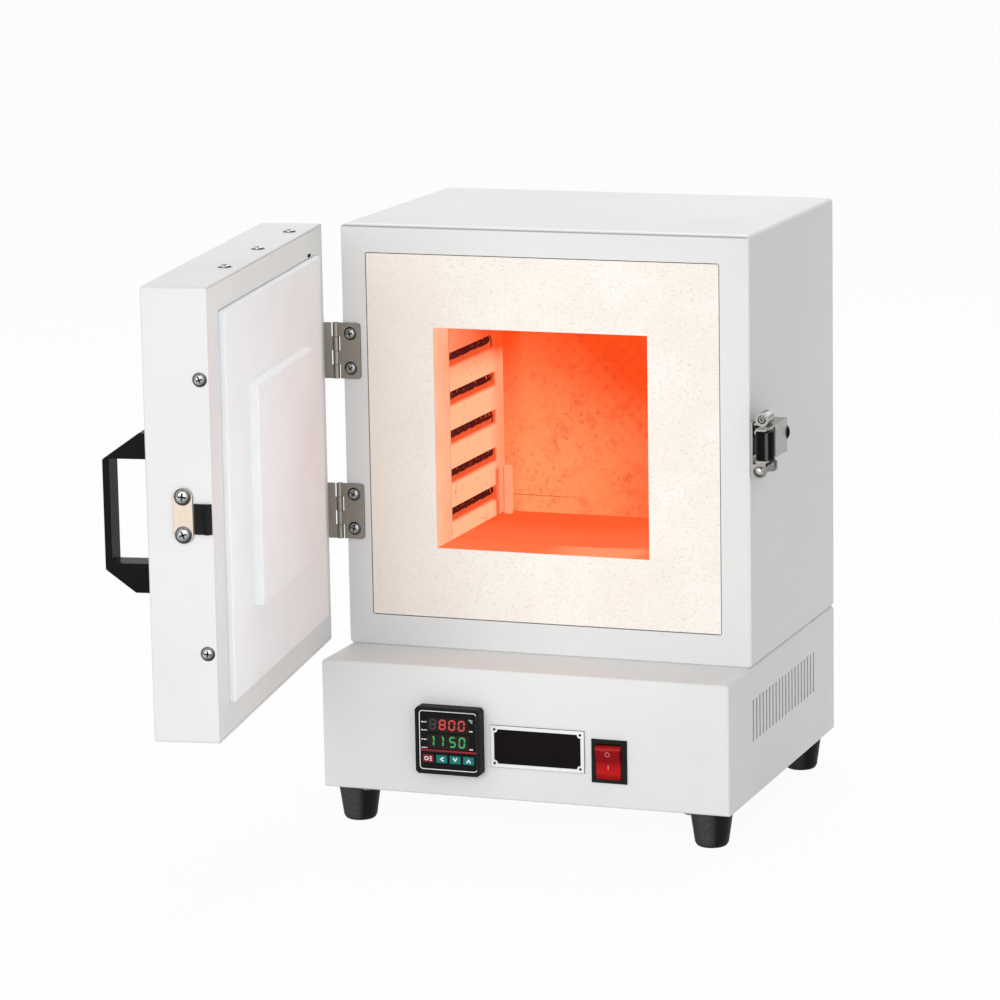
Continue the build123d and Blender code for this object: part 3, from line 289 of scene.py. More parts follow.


# The fascia is cream, with painted shade toward the hinge side, and glows inside the mouth
fasciaLook = {
    "cream": tone(254, 249, 242), "warm": tone(249, 241, 232), "speck": tone(226, 214, 202),
    "pit": tone(158, 142, 130), "speckle": 0.55, "hingeShade": tone(246, 236, 226),
    "hingeReach": 100, "hingeShare": 0.6, "roughness": 0.92, "gleam": 0.2, "bump": (0.35, 0.25),
    "fold": 0.5,
}
mouthLook = {
    "light": tone(252, 192, 154), "deep": tone(254, 138, 92), "sill": tone(253, 116, 68),
    "worn": tone(254, 150, 106), "base": tone(90, 30, 15), "outside": (0, 0, 0, 1), "margin": 0.4,
    "lip": 0.5, "areas": (34, 3, 0.35, 0.75), "areaShare": 0.3, "depthShare": 0.25,
    "cheek": (-1, -4), "cheekShare": 0.8, "drift": (40, 3), "driftReach": 0.03,
    "wornLeft": (-10, 30), "wornRight": (0, -20), "upward": (0.4, 0.7), "power": 0.96,
}


def fasciaBoard():
    look, mouth, box = fasciaLook, mouthLook, chamberBox()
    g, where = newGraph("fasciaFibreBoard")
    x, y, z = g.axes(where)
    low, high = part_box("front_fascia")
    colour, height = boardPattern(g, where, look)
    # Painted shade: a darker, warmer tone near the hinge-side edge
    hinges = g.fade(x, low.x, look["hingeReach"], 0) * look["hingeShare"]
    colour = g.mix(hinges, colour, look["hingeShade"])
    inMouth = (abs(x - box["x"]) < box["width"] / 2 + mouth["margin"] * mm)
    inMouth = inMouth * (abs(z - box["z"]) < box["height"] / 2 + mouth["margin"] * mm)
    inMouth = inMouth * (y > low.y + mouth["lip"] * mm)
    shade = g.patches(where, *mouth["areas"]) * mouth["areaShare"]
    shade = shade + g.ease(y, low.y, high.y) * mouth["depthShare"]
    cheek = g.fade(abs(x - box["x"]), box["width"] / 2, *mouth["cheek"]) * mouth["cheekShare"]
    glow = g.mix((shade + cheek).clamped(), mouth["light"], mouth["deep"])
    worn = x + (g.noise(where, *mouth["drift"]) - 0.5) * mouth["driftReach"]
    wornRight = g.fade(worn, box["right"], *mouth["wornRight"])
    worn = g.fade(worn, box["x"], *mouth["wornLeft"]) * wornRight
    sill = g.mix(worn, mouth["sill"], mouth["worn"])
    glow = g.mix(g.facing(alongZ, *mouth["upward"]), glow, sill)
    return g.surface({
        "Base Color": g.mix(inMouth, colour, mouth["base"]),
        "Roughness": look["roughness"],
        "Specular IOR Level": look["gleam"],
        "Emission Color": g.mix(inMouth, mouth["outside"], glow),
        "Emission Strength": mouth["power"],
        "Normal": g.bump(height, *look["bump"], g.rounded(look["fold"])),
    })


# The door's board and its raised plug: the same fibre, whiter, with faint singed areas
doorLook = {
    "cream": tone(250, 251, 253), "warm": tone(245, 247, 249), "speck": tone(242, 242, 242),
    "pit": tone(222, 218, 214), "speckle": 0.3, "singe": tone(240, 236, 230),
    "singed": (11, 3, 0.5, 0.8), "singeShare": 0.4, "roughness": 0.93, "gleam": 0.2,
    "bump": (0.3, 0.25), "fold": 0.7,
}


def doorBoard():
    look = doorLook
    g, where = newGraph("doorFibreBoard")
    colour, height = boardPattern(g, where, look)
    singe = g.patches(where, *look["singed"]) * look["singeShare"]
    return g.surface({
        "Base Color": g.mix(singe, colour, look["singe"]),
        "Roughness": look["roughness"],
        "Specular IOR Level": look["gleam"],
        "Normal": g.bump(height, *look["bump"], g.rounded(look["fold"])),
    })


# Glowing lining: each panel fades from a deep orange to a paler, hotter tone
glowLook = {
    "left": {"deep": tone(250, 84, 36), "light": tone(255, 190, 144), "wave": 0.25},
    "right": {"deep": tone(250, 92, 45), "light": tone(255, 176, 126), "wave": 0.4},
    "back": {"deep": tone(254, 76, 22), "light": tone(253, 156, 100), "wave": 0.3},
    "floor": {"deep": tone(254, 92, 44), "light": tone(254, 132, 86), "wave": 0.3},
    "roof": {"deep": tone(250, 82, 34), "light": tone(255, 120, 72), "wave": 0.3},
    "stain": tone(214, 66, 30), "char": tone(122, 34, 20), "base": tone(92, 34, 18),
    "groove": tone(240, 88, 46), "crack": tone(150, 44, 24), "waves": (17, 3, 0.6),
    "blotches": (85, 3, 0.6, 0.78, 0.6), "blotchShare": 0.16, "poreSize": 230,
    "poreFade": (0.15, 0.05), "poreAreas": (60, 2, 0.48, 0.6), "poreShare": 0.65,
    "fibre": (300, 4, 0.7), "roughness": 0.95, "gleam": 0.1, "bump": (0.4, 0.3), "power": 0.95,
}


def glowBoard(part, paint):
    look, own = glowLook, glowLook[part]
    g, where = newGraph("glowingBoard" + part.capitalize())
    light, colourOver = paint(g, where)
    light = light + (g.noise(where, *look["waves"]) - 0.5) * own["wave"]
    colour = colourOver(g.mix(light.clamped(), own["deep"], own["light"]))
    blotches = g.patches(where, *look["blotches"]) * look["blotchShare"]
    colour = g.mix(blotches, colour, look["stain"])
    pores = g.ease(g.cells(where, look["poreSize"]), *look["poreFade"])
    pores = pores * g.patches(where, *look["poreAreas"])
    colour = g.mix(pores * look["poreShare"], colour, look["char"])
    return g.surface({
        "Base Color": look["base"],
        "Roughness": look["roughness"],
        "Specular IOR Level": look["gleam"],
        "Emission Color": colour,
        "Emission Strength": look["power"],
        "Normal": g.bump(g.noise(where, *look["fibre"]) - pores, *look["bump"]),
    })


# Side walls: pale, deep orange above, painted shade in the back corner and in the grooves, a
# dark joint at the mouth, hair cracks, and painted shade where the sheath stands
sideLook = {
    "brightness": 1.02, "above": (-50, -20), "aboveShare": 0.6, "behindShare": 0.55,
    "corner": (-35, -5), "cornerShadeShare": 0.42, "grooveShadeFade": (0.3, 3), "joint": (1.5, 0.9),
    "jointDrift": (420, 3, 0.7), "jointReach": 1.2, "jointShare": 0.7, "sheathOffset": 1,
    "sheathAcross": (6, 1), "sheathUp": (2, -4), "sheathShare": 0.85, "cracks": (90, 0.03),
    "crackAreas": (40, 2, 0.52, 0.66), "crackShare": 0.4,
}


def paintSide(part):
    def paint(g, where):
        look, box = sideLook, chamberBox()
        sheathLow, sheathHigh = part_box("thermocouple_tube")
        x, y, z = g.axes(where)
        behind = g.ease(y, box["front"], box["back"]) * look["behindShare"] + look["aboveShare"]
        # Painted shade: darker toward the back corner
        corner = g.fade(y, box["back"], *look["corner"]) * look["cornerShadeShare"]
        light = look["brightness"] - g.fade(z, box["top"], *look["above"]) * behind - corner

        def over(colour):
            # Painted shade in the grooves, mixed toward the groove tone
            inset = box["left"] - x if part == "left" else x - box["right"]
            colour = g.mix(g.fade(inset, 0, *look["grooveShadeFade"]), colour, glowLook["groove"])
            edge = y + g.noise(where, *look["jointDrift"]) * look["jointReach"] * mm
            joint = g.fade(edge, box["front"], *look["joint"]) * look["jointShare"]
            colour = g.mix(joint, colour, glowLook["char"])
            # Painted shade on the left wall where the sheath stands
            if part == "left":
                near = abs(y - (sheathLow.y - look["sheathOffset"] * mm))
                near = g.fade(near, 0, *look["sheathAcross"])
                near = near * g.fade(z, sheathHigh.z, *look["sheathUp"])
                colour = g.mix(near * look["sheathShare"], colour, glowLook["groove"])
            fine = g.cracks(where, *look["cracks"]) * g.patches(where, *look["crackAreas"])
            return g.mix(fine * look["crackShare"], colour, glowLook["crack"])

        return light, over

    return paint


# Back wall: palest low on the hinge side, painted shade in the corner by the left wall, a
# faint grid of blotches, smudges, hair cracks and a joint line near the floor
backLook = {
    "brightness": 0.98, "acrossLeft": 0.02, "acrossRight": 0.01, "acrossShare": 0.72,
    "upBottom": 0.04, "upTop": 0.005, "upShare": 0.9, "corner": (20, 2), "cornerShadeShare": 0.25,
    "gridPitch": (0.0125, 0.0135), "gridDrift": (110, 3), "gridDriftShare": 0.8,
    "gridFade": (0.6, 1.2), "gridReach": (130, 200), "gridShare": 0.4,
    "smudges": (70, 4, 0.5, 0.7, 0.7), "smudgeShare": 0.3, "mottles": (260, 4, 0.5, 0.68, 0.7),
    "mottleAreas": (30, 3, 0.38, 0.56), "mottleShare": 0.42, "cracks": (170, 0.05),
    "crackAreas": (120, 3, 0.54, 0.66), "crackShare": 0.3, "seamHeight": 0.0125,
    "seamDrift": (90, 2), "seamReach": 1.6, "seamFade": (0.5, 0.15), "seamEnd": (70, 30),
    "seamShare": 0.6,
}


def paintBack(g, where):
    look, box = backLook, chamberBox()
    left, bottom = box["left"], box["bottom"]
    x, y, z = g.axes(where)
    across = g.ease(x, left + look["acrossLeft"], box["right"] - look["acrossRight"])
    up = g.ease(z, bottom + look["upBottom"], box["top"] - look["upTop"])
    light = look["brightness"] - across * look["acrossShare"] - up * look["upShare"]
    # Painted shade: darker close to the corner with the left wall
    light = light - g.fade(x, left, *look["corner"]) * look["cornerShadeShare"]

    def over(colour):
        pitchX, pitchZ = look["gridPitch"]
        grid = (x * (math.tau / pitchX)).sine() * (z * (math.tau / pitchZ)).sine()
        grid = grid + g.noise(where, *look["gridDrift"]) * look["gridDriftShare"]
        grid = g.ease(grid, *look["gridFade"]) * g.fade(x + z, left + bottom, *look["gridReach"])
        colour = g.mix(grid * look["gridShare"], colour, glowLook["stain"])
        smudges = g.patches(where, *look["smudges"]) * look["smudgeShare"]
        colour = g.mix(smudges, colour, glowLook["stain"])
        mottles = g.patches(where, *look["mottles"]) * g.patches(where, *look["mottleAreas"])
        colour = g.mix(mottles * look["mottleShare"], colour, glowLook["stain"])
        fine = g.cracks(where, *look["cracks"]) * g.patches(where, *look["crackAreas"])
        colour = g.mix(fine * look["crackShare"], colour, glowLook["crack"])
        drift = (g.noise(where, *look["seamDrift"]) - 0.5) * look["seamReach"] * mm
        seam = g.fade(abs(z - (bottom + look["seamHeight"]) + drift), 0, *look["seamFade"])
        seam = seam * g.fade(x, left, *look["seamEnd"])
        return g.mix(seam * look["seamShare"], colour, glowLook["crack"])

    return light, over


# Floor: a paler worn patch at the mouth
floorLook = {
    "brightness": 0.42, "slant": 0.16, "drift": (45, 3), "driftReach": 0.016, "worn": (14, 8),
    "wornShare": 0.55, "depthStart": 0.02, "depthShare": 0.55, "rimAt": 0.011, "rim": (1.2, 0.2),
    "rimShare": 0.3,
}


def paintFloor(g, where):
    look, box = floorLook, chamberBox()
    x, y, z = g.axes(where)
    worn = y + (box["right"] - x) * look["slant"]
    worn = worn + (g.noise(where, *look["drift"]) - 0.5) * look["driftReach"]
    depth = g.ease(y, box["front"] + look["depthStart"], box["back"]) * look["depthShare"]
    paler = g.fade(worn, box["front"], *look["worn"]) * look["wornShare"]
    light = look["brightness"] - depth + paler

    def over(colour):
        rim = g.fade(abs(worn - box["front"] - look["rimAt"]), 0, *look["rim"])
        return g.mix(rim * look["rimShare"], colour, glowLook["stain"])

    return light, over


def paintRoof(g, where):
    z = g.axes(where)[2]
    return g.ease(z, chamberBox()["top"], chamberBox()["bottom"]), lambda colour: colour


glowPaints = {
    "left": paintSide("left"), "right": paintSide("right"), "back": paintBack, "floor": paintFloor,
    "roof": paintRoof,
}


# Plain finishes: two colours, roughness, grain size, bump, fold radius and gleam
plainLooks = {
    "blackPlastic": ((21, 21, 22), (28, 28, 29), 0.45, 900, 0.14, 0.5, 0.1),
    "handleEnamel": ((12, 12, 13), (17, 17, 19), 0.3, 620, 0.14, 1.0, 0.07),
    "blackRubber": ((17, 17, 18), (24, 24, 25), 0.38, 420, 0.12, 0.6, 0.1),
    "rollerRubber": ((9, 8, 9), (14, 13, 14), 0.3, 700, 0.1, 0.3, 0.05),
    "blackEnamel": ((16, 13, 12), (20, 17, 16), 0.5, 500, 0.05, 0.15, 0.05),
    "windowFilm": ((18, 18, 19), (22, 22, 23), 0.4, 300, 0.02, 0.2, 0.06),
    "displayPane": ((34, 26, 27), (42, 33, 34), 0.4, 300, 0.02, 0.1, 0.06),
    "redKey": ((118, 22, 40), (128, 26, 44), 0.36, 400, 0.04, 0.5, 0.2),
    "tealKey": ((8, 112, 106), (12, 122, 116), 0.36, 400, 0.04, 0.5, 0.2),
    "whiteInk": ((244, 244, 244), (236, 236, 236), 0.5, 900, 0.03, 0.05, 0.3),
    "redInk": ((150, 30, 40), (160, 36, 46), 0.45, 900, 0.03, 0.05, 0.2),
    "palePinkInk": ((232, 150, 142), (236, 160, 152), 0.4, 900, 0.03, 0.05, 0.3),
    "mineralWool": ((228, 224, 216), (206, 200, 188), 0.98, 240, 0.9, 2, 0.1),
    "paleAluminium": ((196, 197, 200), (206, 206, 208), 0.4, 380, 0.08, 0.4, 0.5),
    "holeShade": ((20, 20, 21), (26, 26, 27), 0.9, 300, 0.1, 0.1, 0.1),
}
bareMetals = {"paleAluminium"}

# A painted highlight streak down a round piece: the way it faces, where it fades, and its colour
highlightStreaks = {
    "blackRubber": ((-0.1, -1, 0), 0.75, 1.0, (84, 84, 84)),
    "rollerRubber": ((0.42, -0.9, 0), 0.975, 1.0, (120, 118, 118)),
}
plainGrain = {
    "grain": (3, 0.6), "cloud": (14, 2), "share": 0.4, "fade": (0.45, 0.95),
    "streak": (0.7, 0.25), "rough": 0.14, "depth": 0.12,
}


def plainFinish(name):
    main, vary, rough, size, bump, fold, gleam = plainLooks[name]
    g, where = newGraph(name)
    grain = g.noise(where, size, *plainGrain["grain"])
    coarser, detail = plainGrain["cloud"]
    cloud = g.noise(where, size / coarser, detail) + grain * plainGrain["share"]
    colour = g.mix(g.ease(cloud, *plainGrain["fade"]), tone(*main), tone(*vary))
    # Painted highlight: a pale streak where the face turns toward one direction
    if name in highlightStreaks:
        way, start, end, bright = highlightStreaks[name]
        share, least = plainGrain["streak"]
        colour = g.mix(g.facing(way, start, end) * (grain * share + least), colour, tone(*bright))
    return g.surface({
        "Base Color": colour,
        "Metallic": 1.0 if name in bareMetals else 0.0,
        "Specular IOR Level": gleam,
        "Roughness": rough + grain * plainGrain["rough"],
        "Normal": g.bump(grain, bump, plainGrain["depth"], g.rounded(fold)),
    })


# Metals: fine lines along the rolling direction, a few light scuffs, and painted reflections:
# greys that change with how far a face is turned toward one direction, standing in for a plated
# finish
metalLooks = {
    "zincScrew": {
        "colour": (214, 216, 217), "dull": (184, 186, 187), "rough": 0.25,
        "lines": (500, 500, 500), "fold": 0.2, "toward": (-0.5, -0.5, 0.7),
        "bands": [(0.24, 170), (0.34, 60), (0.5, 130), (0.72, 225),
                  (0.79, 235), (0.85, 90), (0.92, 240), (1.0, 255)],
    },
    # Darker than the screws: the washers also paint the shade round each head
    "washerSteelAndShade": {
        "colour": (118, 120, 121), "dull": (90, 91, 92), "rough": 0.35,
        "lines": (500, 500, 500), "fold": 0.2, "toward": (-0.5, -0.5, 0.7),
        "bands": [(0.22, 150), (0.31, 40), (0.6, 120), (0.75, 225), (0.85, 50), (1.0, 255)],
    },
    "nickelStrike": {
        "colour": (226, 210, 194), "dull": (212, 195, 178), "rough": 0.34,
        "lines": (900, 900, 90), "fold": 0.4, "toward": (-1, -0.3, 0.2),
        "bands": [(0.2, 90), (0.5, 220), (0.8, 255), (1.0, 255)],
    },
    "platedLatch": {
        "colour": (216, 214, 210), "dull": (176, 173, 168), "rough": 0.25,
        "lines": (160, 160, 1100), "fold": 0.35, "toward": (0.55, -0.45, 0.70),
        "bands": [(0, 40), (0.32, 120), (0.44, 235), (0.52, 60), (0.63, 50),
                  (0.7, 180), (0.85, 200), (0.89, 95), (0.93, 255)],
    },
    "hingeSteel": {
        "colour": (176, 170, 161), "dull": (158, 152, 143), "rough": 0.4,
        "lines": (1100, 1100, 70), "fold": 0.3, "toward": (0.2, -1, 0.1),
        "bands": [(0, 150), (0.5, 130), (0.86, 205), (1.0, 235)],
    },
}
metalGrain = {
    "lines": (1, 3, 0.6), "lineFade": (0.35, 0.7), "lineRough": 0.08,
    "scuffs": (240, 3, 0.6), "scuffFade": (0.5, 0.85), "scuffRough": 0.06,
    "share": 0.5, "bump": (0.08, 0.05),
}


def metalFinish(name):
    look, wear = metalLooks[name], metalGrain
    g, where = newGraph(name)
    dull = tone(*look["dull"])
    lines = g.noise(g.vector("MULTIPLY", {0: where, 1: look["lines"]}), *wear["lines"])
    scuffs = g.noise(where, *wear["scuffs"])
    colour = g.mix(g.ease(scuffs, *wear["scuffFade"]) * wear["share"], tone(*look["colour"]), dull)
    colour = g.mix(g.ease(lines, *wear["lineFade"]) * wear["share"], colour, dull)
    # Painted reflections: bands of grey by how far each face turns toward one direction
    stops = [(position, tone(grey, grey, grey)) for position, grey in look["bands"]]
    lean = g.facing(look["toward"], -1, 1, "LINEAR")
    bands = g.node("ShaderNodeValToRGB", {"stops": stops}, {0: lean})
    rough = look["rough"] + scuffs * wear["scuffRough"] + lines * wear["lineRough"]
    return g.surface({
        "Base Color": g.mix(1, colour, bands, "MULTIPLY"),
        "Metallic": 1.0,
        "Roughness": rough,
        "Normal": g.bump(lines, *wear["bump"], g.rounded(look["fold"])),
    })


# Lit segments and unlit ones of the two displays: colour and power; the unlit ones get a faint
# painted glow
litLooks = {
    "redDigits": ((232, 66, 42), 0.8), "greenDigits": ((32, 190, 92), 0.8),
    "unlitDigits": ((62, 52, 54), 0.25),
}
litGrain = {
    "base": tone(30, 20, 20), "dark": tone(20, 20, 20), "rough": (0.4, 0.1),
    "size": (900, 2), "fade": (0.3, 0.8), "share": 0.25,
}


def litFinish(name):
    colour, power = litLooks[name]
    g, where = newGraph(name)
    flicker = g.noise(where, *litGrain["size"])
    dimmed = g.ease(flicker, *litGrain["fade"]) * litGrain["share"]
    rough, vary = litGrain["rough"]
    return g.surface({
        "Base Color": litGrain["base"],
        "Roughness": rough + flicker * vary,
        "Emission Color": g.mix(dimmed, tone(*colour), litGrain["dark"]),
        "Emission Strength": power,
    })


# Clear red rocker, with painted light from its foot up: a highlight on the belly, a deep middle and
# a lit upper edge
rockerLook = {
    "base": tone(120, 3, 6),
    "bands": [(0.0, 60, 2, 4), (0.1, 150, 12, 14), (0.2, 196, 34, 32), (0.42, 176, 22, 22),
              (0.56, 92, 2, 5), (0.86, 104, 4, 8), (0.93, 190, 60, 56), (1.0, 150, 20, 22)],
    "cloud": (70, 2), "cloudReach": 0.06, "rough": 0.18, "vary": 0.04,
    "gleam": 0.08, "coat": 0.03, "coatRough": 0.06, "power": 0.55, "fold": 0.6,
}


def rockerPlastic():
    look = rockerLook
    g, where = newGraph("clearRedPlastic")
    low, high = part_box("switch_rocker")
    cloud = g.noise(where, *look["cloud"])
    rise = (g.axes(where)[2] - low.z) / (high.z - low.z) + (cloud - 0.5) * look["cloudReach"]
    stops = [(position, tone(*colour)) for position, *colour in look["bands"]]
    return g.surface({
        "Base Color": look["base"],
        "Roughness": look["rough"] + cloud * look["vary"],
        "Specular IOR Level": look["gleam"],
        "Coat Weight": look["coat"],
        "Coat Roughness": look["coatRough"],
        "Emission Color": g.node("ShaderNodeValToRGB", {"stops": stops}, {0: rise}),
        "Emission Strength": look["power"],
        "Normal": g.rounded(look["fold"]),
    })


# Oxidised heating wire, faintly red where it is hottest
wireLook = {
    "base": tone(46, 16, 12), "dark": tone(74, 10, 10), "hot": tone(140, 30, 16),
    "heat": (120, 2, 0.5, 0.75), "scale": (1400, 3), "metal": 0.3, "rough": 0.6, "vary": 0.2,
    "power": 0.7, "bump": (0.3, 0.05),
}


def wireOxide():
    look = wireLook
    g, where = newGraph("oxidisedWire")
    scale = g.noise(where, *look["scale"])
    return g.surface({
        "Base Color": look["base"],
        "Metallic": look["metal"],
        "Roughness": look["rough"] + scale * look["vary"],
        "Emission Color": g.mix(g.patches(where, *look["heat"]), look["dark"], look["hot"]),
        "Emission Strength": look["power"],
        "Normal": g.bump(scale, *look["bump"]),
    })


# Ceramic sheath that stands in the glow: one side lit, one side deep red
sheathLook = {
    "base": tone(96, 44, 26), "light": tone(255, 160, 118), "deep": tone(236, 70, 30),
    "grain": (500, 3), "grainShare": 0.3, "fade": (-0.95, -0.35), "rough": 0.8, "power": 0.95,
    "bump": (0.15, 0.1),
}


def sheathCeramic():
    look = sheathLook
    g, where = newGraph("glowingSheath")
    sideways = g.axes(g.node("ShaderNodeNewGeometry", out=1))[0]
    grain = g.noise(where, *look["grain"])
    light = g.ease(sideways + (grain - 0.5) * look["grainShare"], *look["fade"])
    return g.surface({
        "Base Color": look["base"],
        "Roughness": look["rough"],
        "Emission Color": g.mix(light, look["deep"], look["light"]),
        "Emission Strength": look["power"],
        "Normal": g.bump(grain, *look["bump"]),
    })


finishes = {name: plainFinish(name) for name in plainLooks}
finishes.update({name: metalFinish(name) for name in metalLooks})
finishes.update({name: litFinish(name) for name in litLooks})
finishes["whitePaint"] = whitePaint()
finishes["fasciaBoard"] = fasciaBoard()
finishes["doorBoard"] = doorBoard()
finishes["rocker"] = rockerPlastic()
finishes["wire"] = wireOxide()
finishes["sheath"] = sheathCeramic()
for part, paint in glowPaints.items():
    finishes["glow" + part.capitalize()] = glowBoard(part, paint)

# Which finish each carried-over solid wears
footCorners = ("front_left", "front_right", "back_left", "back_right")
finishOf = {
    "whitePaint": [
        "base_back_panel", "base_bottom_plate", "base_cover", "cabinet_back_panel",
        "cabinet_shell", "door_inner_frame", "door_outer_shell",
    ],
    "fasciaBoard": ["front_fascia"],
    "doorBoard": ["door_board", "door_plug"],
    "glowLeft": ["chamber_left_wall"],
    "glowRight": ["chamber_right_wall"],
    "glowBack": ["chamber_back_wall"],
    "glowFloor": ["chamber_floor"],
    "glowRoof": ["chamber_roof"],
    "sheath": ["thermocouple_tube"],
    "wire": ["heating_coil_left", "heating_coil_right"],
    "blackPlastic": [
        "controller_bezel", "controller_case", "power_inlet", "solid_state_relay",
        "strike_tongue", "switch_body", "terminal_block",
    ],
    "handleEnamel": ["door_handle"],
    "blackRubber": ["latch_end_cap"] + ["foot_" + corner for corner in footCorners],
    "rollerRubber": ["latch_roller"],
    "windowFilm": ["controller_window"],
    "blackEnamel": ["name_plate", "name_plate_rivets"],
    "redKey": ["key_set"],
    "tealKey": ["key_left", "key_down", "key_up"],
    "rocker": ["switch_rocker"],
    "mineralWool": ["door_wool", "insulation_wool"],
    "paleAluminium": ["relay_heatsink"],
    "nickelStrike": ["strike_plate"],
    "platedLatch": [
        "latch_arm", "latch_base", "latch_grip_pin", "latch_pivot_pin", "latch_roller_pin",
        "latch_spring",
    ],
    "hingeSteel": [node for node in cadNodes if node.startswith("hinge_")],
    "zincScrew": ["cabinet_screws", "door_screws", "strike_screws"],
}
for name, carried in finishOf.items():
    for node in carried:
        mesh = cadNodes[node].data
        mesh.materials.clear()
        mesh.materials.append(finishes[name])
bare = set(cadNodes) - {node for carried in finishOf.values() for node in carried}
print("finishes on", len(cadNodes) - len(bare), "nodes, without one:", sorted(bare))


# Every piece is one mesh that rides on a body, and may stand for a solid
def addPiece(name, work, body, finish, replaced=(), smooth=35):
    mesh = bpy.data.meshes.new(name)
    bmesh.ops.recalc_face_normals(work, faces=work.faces)
    work.to_mesh(mesh)
    work.free()
    mesh.materials.append(finishes[finish])
    mesh.shade_smooth()
    mesh.set_sharp_from_angle(angle=math.radians(smooth))
    piece = bpy.data.objects.new(name, mesh)
    bpy.context.scene.collection.objects.link(piece)
    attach(piece, body)
    if replaced:
        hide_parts(*replaced)


# Rings of points, each a list or a single point, joined one to the next
def addRings(work, rings):
    rows = [[work.verts.new(point) for point in ring] for ring in rings]
    for one, two in zip(rows, rows[1:]):
        count = max(len(one), len(two))
        for i in range(count):
            j = (i + 1) % count
            corners = [one[i % len(one)], one[j % len(one)], two[j % len(two)], two[i % len(two)]]
            distinct = list(dict.fromkeys(corners))
            if len(distinct) > 2:
                work.faces.new(distinct)


def frameOf(axis, hint=None):
    axis = Vector(axis).normalized()
    side = hint or (alongX if abs(axis.x) < 0.9 else alongZ)
    across = (side - axis * side.dot(axis)).normalized()
    return across, axis.cross(across), axis


def circleLine(x, z, radius, steps=32):
    angles = [2 * math.pi * i / steps for i in range(steps)]
    return [(x + radius * math.cos(a), z + radius * math.sin(a)) for a in angles]


# A turned form: profile pairs give radius and height in millimetres
def addTurned(work, profile, centre, axis, steps=64):
    across, up, axis = frameOf(axis)
    circle = circleLine(0, 0, 1, steps)
    rings = []
    for radius, height in profile:
        middle = centre + axis * height * mm
        if radius < onAxis:
            rings.append([middle])
        else:
            rings.append([middle + (across * x + up * z) * radius * mm for x, z in circle])
    addRings(work, rings)


def turnedPiece(name, profile, centre, axis, body, finish, replaced, steps=64):
    work = bmesh.new()
    addTurned(work, profile, centre, axis, steps)
    addPiece(name, work, body, finish, [replaced])


def arcProfile(centreRadius, centreHeight, radius, start, end, steps):
    angles = [math.radians(start + (end - start) * i / steps) for i in range(steps + 1)]
    return [
        (centreRadius + radius * math.cos(a), centreHeight + radius * math.sin(a)) for a in angles
    ]


# Flat shapes raised from a plane; a shape is an outline, or an outline with a hole's outline
def addSlab(work, shapes, origin, across, up, rise):
    out = across.cross(up).normalized() * rise * mm
    for shape in shapes:
        lines = shape if isinstance(shape, tuple) else (shape,)
        rows = []
        for line in lines:
            low = [origin + (across * u + up * v) * mm for u, v in line]
            rows.append(([work.verts.new(p) for p in low], [work.verts.new(p + out) for p in low]))
        for low, high in rows:
            for i in range(len(low)):
                j = (i + 1) % len(low)
                work.faces.new([low[i], low[j], high[j], high[i]])
        for level in (0, 1):
            if len(rows) == 1:
                work.faces.new(rows[0][level])
                continue
            outer, inner = rows[0][level], rows[1][level]
            for i in range(len(outer)):
                j = (i + 1) % len(outer)
                work.faces.new([outer[i], outer[j], inner[j], inner[i]])


def slabPiece(name, shapes, origin, rise, body, finish, replaced=(), up=alongZ):
    work = bmesh.new()
    addSlab(work, shapes, origin, alongX, up, rise)
    addPiece(name, work, body, finish, replaced)


def roundedBox(x, z, width, height, radius, steps=6):
    points = []
    for quarter, (sx, sz) in enumerate(((1, 1), (-1, 1), (-1, -1), (1, -1))):
        for i in range(steps + 1):
            a = math.radians(90 * quarter + 90 * i / steps)
            cornerX = x + sx * (width / 2 - radius)
            cornerZ = z + sz * (height / 2 - radius)
            points.append((cornerX + radius * math.cos(a), cornerZ + radius * math.sin(a)))
    return points


# A wire drawn along points
def wirePiece(name, points, radius, sides, finish, replaced):
    circle = circleLine(0, 0, 1, sides)
    rings = []
    across = None
    for i, point in enumerate(points):
        ahead = points[min(i + 1, len(points) - 1)] - points[max(i - 1, 0)]
        across, up, way = frameOf(ahead, across)
        rings.append([point + (across * x + up * z) * radius for x, z in circle])
    work = bmesh.new()
    addRings(work, [[points[0]]] + rings + [[points[-1]]])
    addPiece(name, work, "oven", finish, [replaced], 80)


# The separate solids of one node in the mesh's own order, so that each run gives the same,
# each with its middle, its flat faces' direction, its half height and its radius
def islandsOf(node):
    work = bmesh.new()
    work.from_mesh(cadNodes[node].data)
    bmesh.ops.remove_doubles(work, verts=work.verts, dist=weld * mm)
    found = []
    left = set(work.verts)
    for first in work.verts:
        if first not in left:
            continue
        left.discard(first)
        queue, island = [first], [first]
        while queue:
            for edge in queue.pop().link_edges:
                for vert in edge.verts:
                    if vert in left:
                        left.discard(vert)
                        island.append(vert)
                        queue.append(vert)
        faces = dict.fromkeys(face for vert in island for face in vert.link_faces)
        areas = {}
        for face in faces:
            key = tuple(round(abs(v), 2) for v in face.normal)
            areas.setdefault(key, []).append(face)
        flat = max(areas.values(), key=lambda group: sum(face.calc_area() for face in group))
        axis = flat[0].normal.copy()
        points = [vert.co.copy() for vert in island]
        heights = [p.dot(axis) for p in points]
        middle = sum(points, Vector()) / len(points)
        middle += axis * ((max(heights) + min(heights)) / 2 - middle.dot(axis))
        reach = max((p - middle - axis * (p - middle).dot(axis)).length for p in points)
        half = (max(heights) - min(heights)) / 2
        found.append({"middle": middle, "axis": axis, "half": half, "radius": reach})
    work.free()
    return found
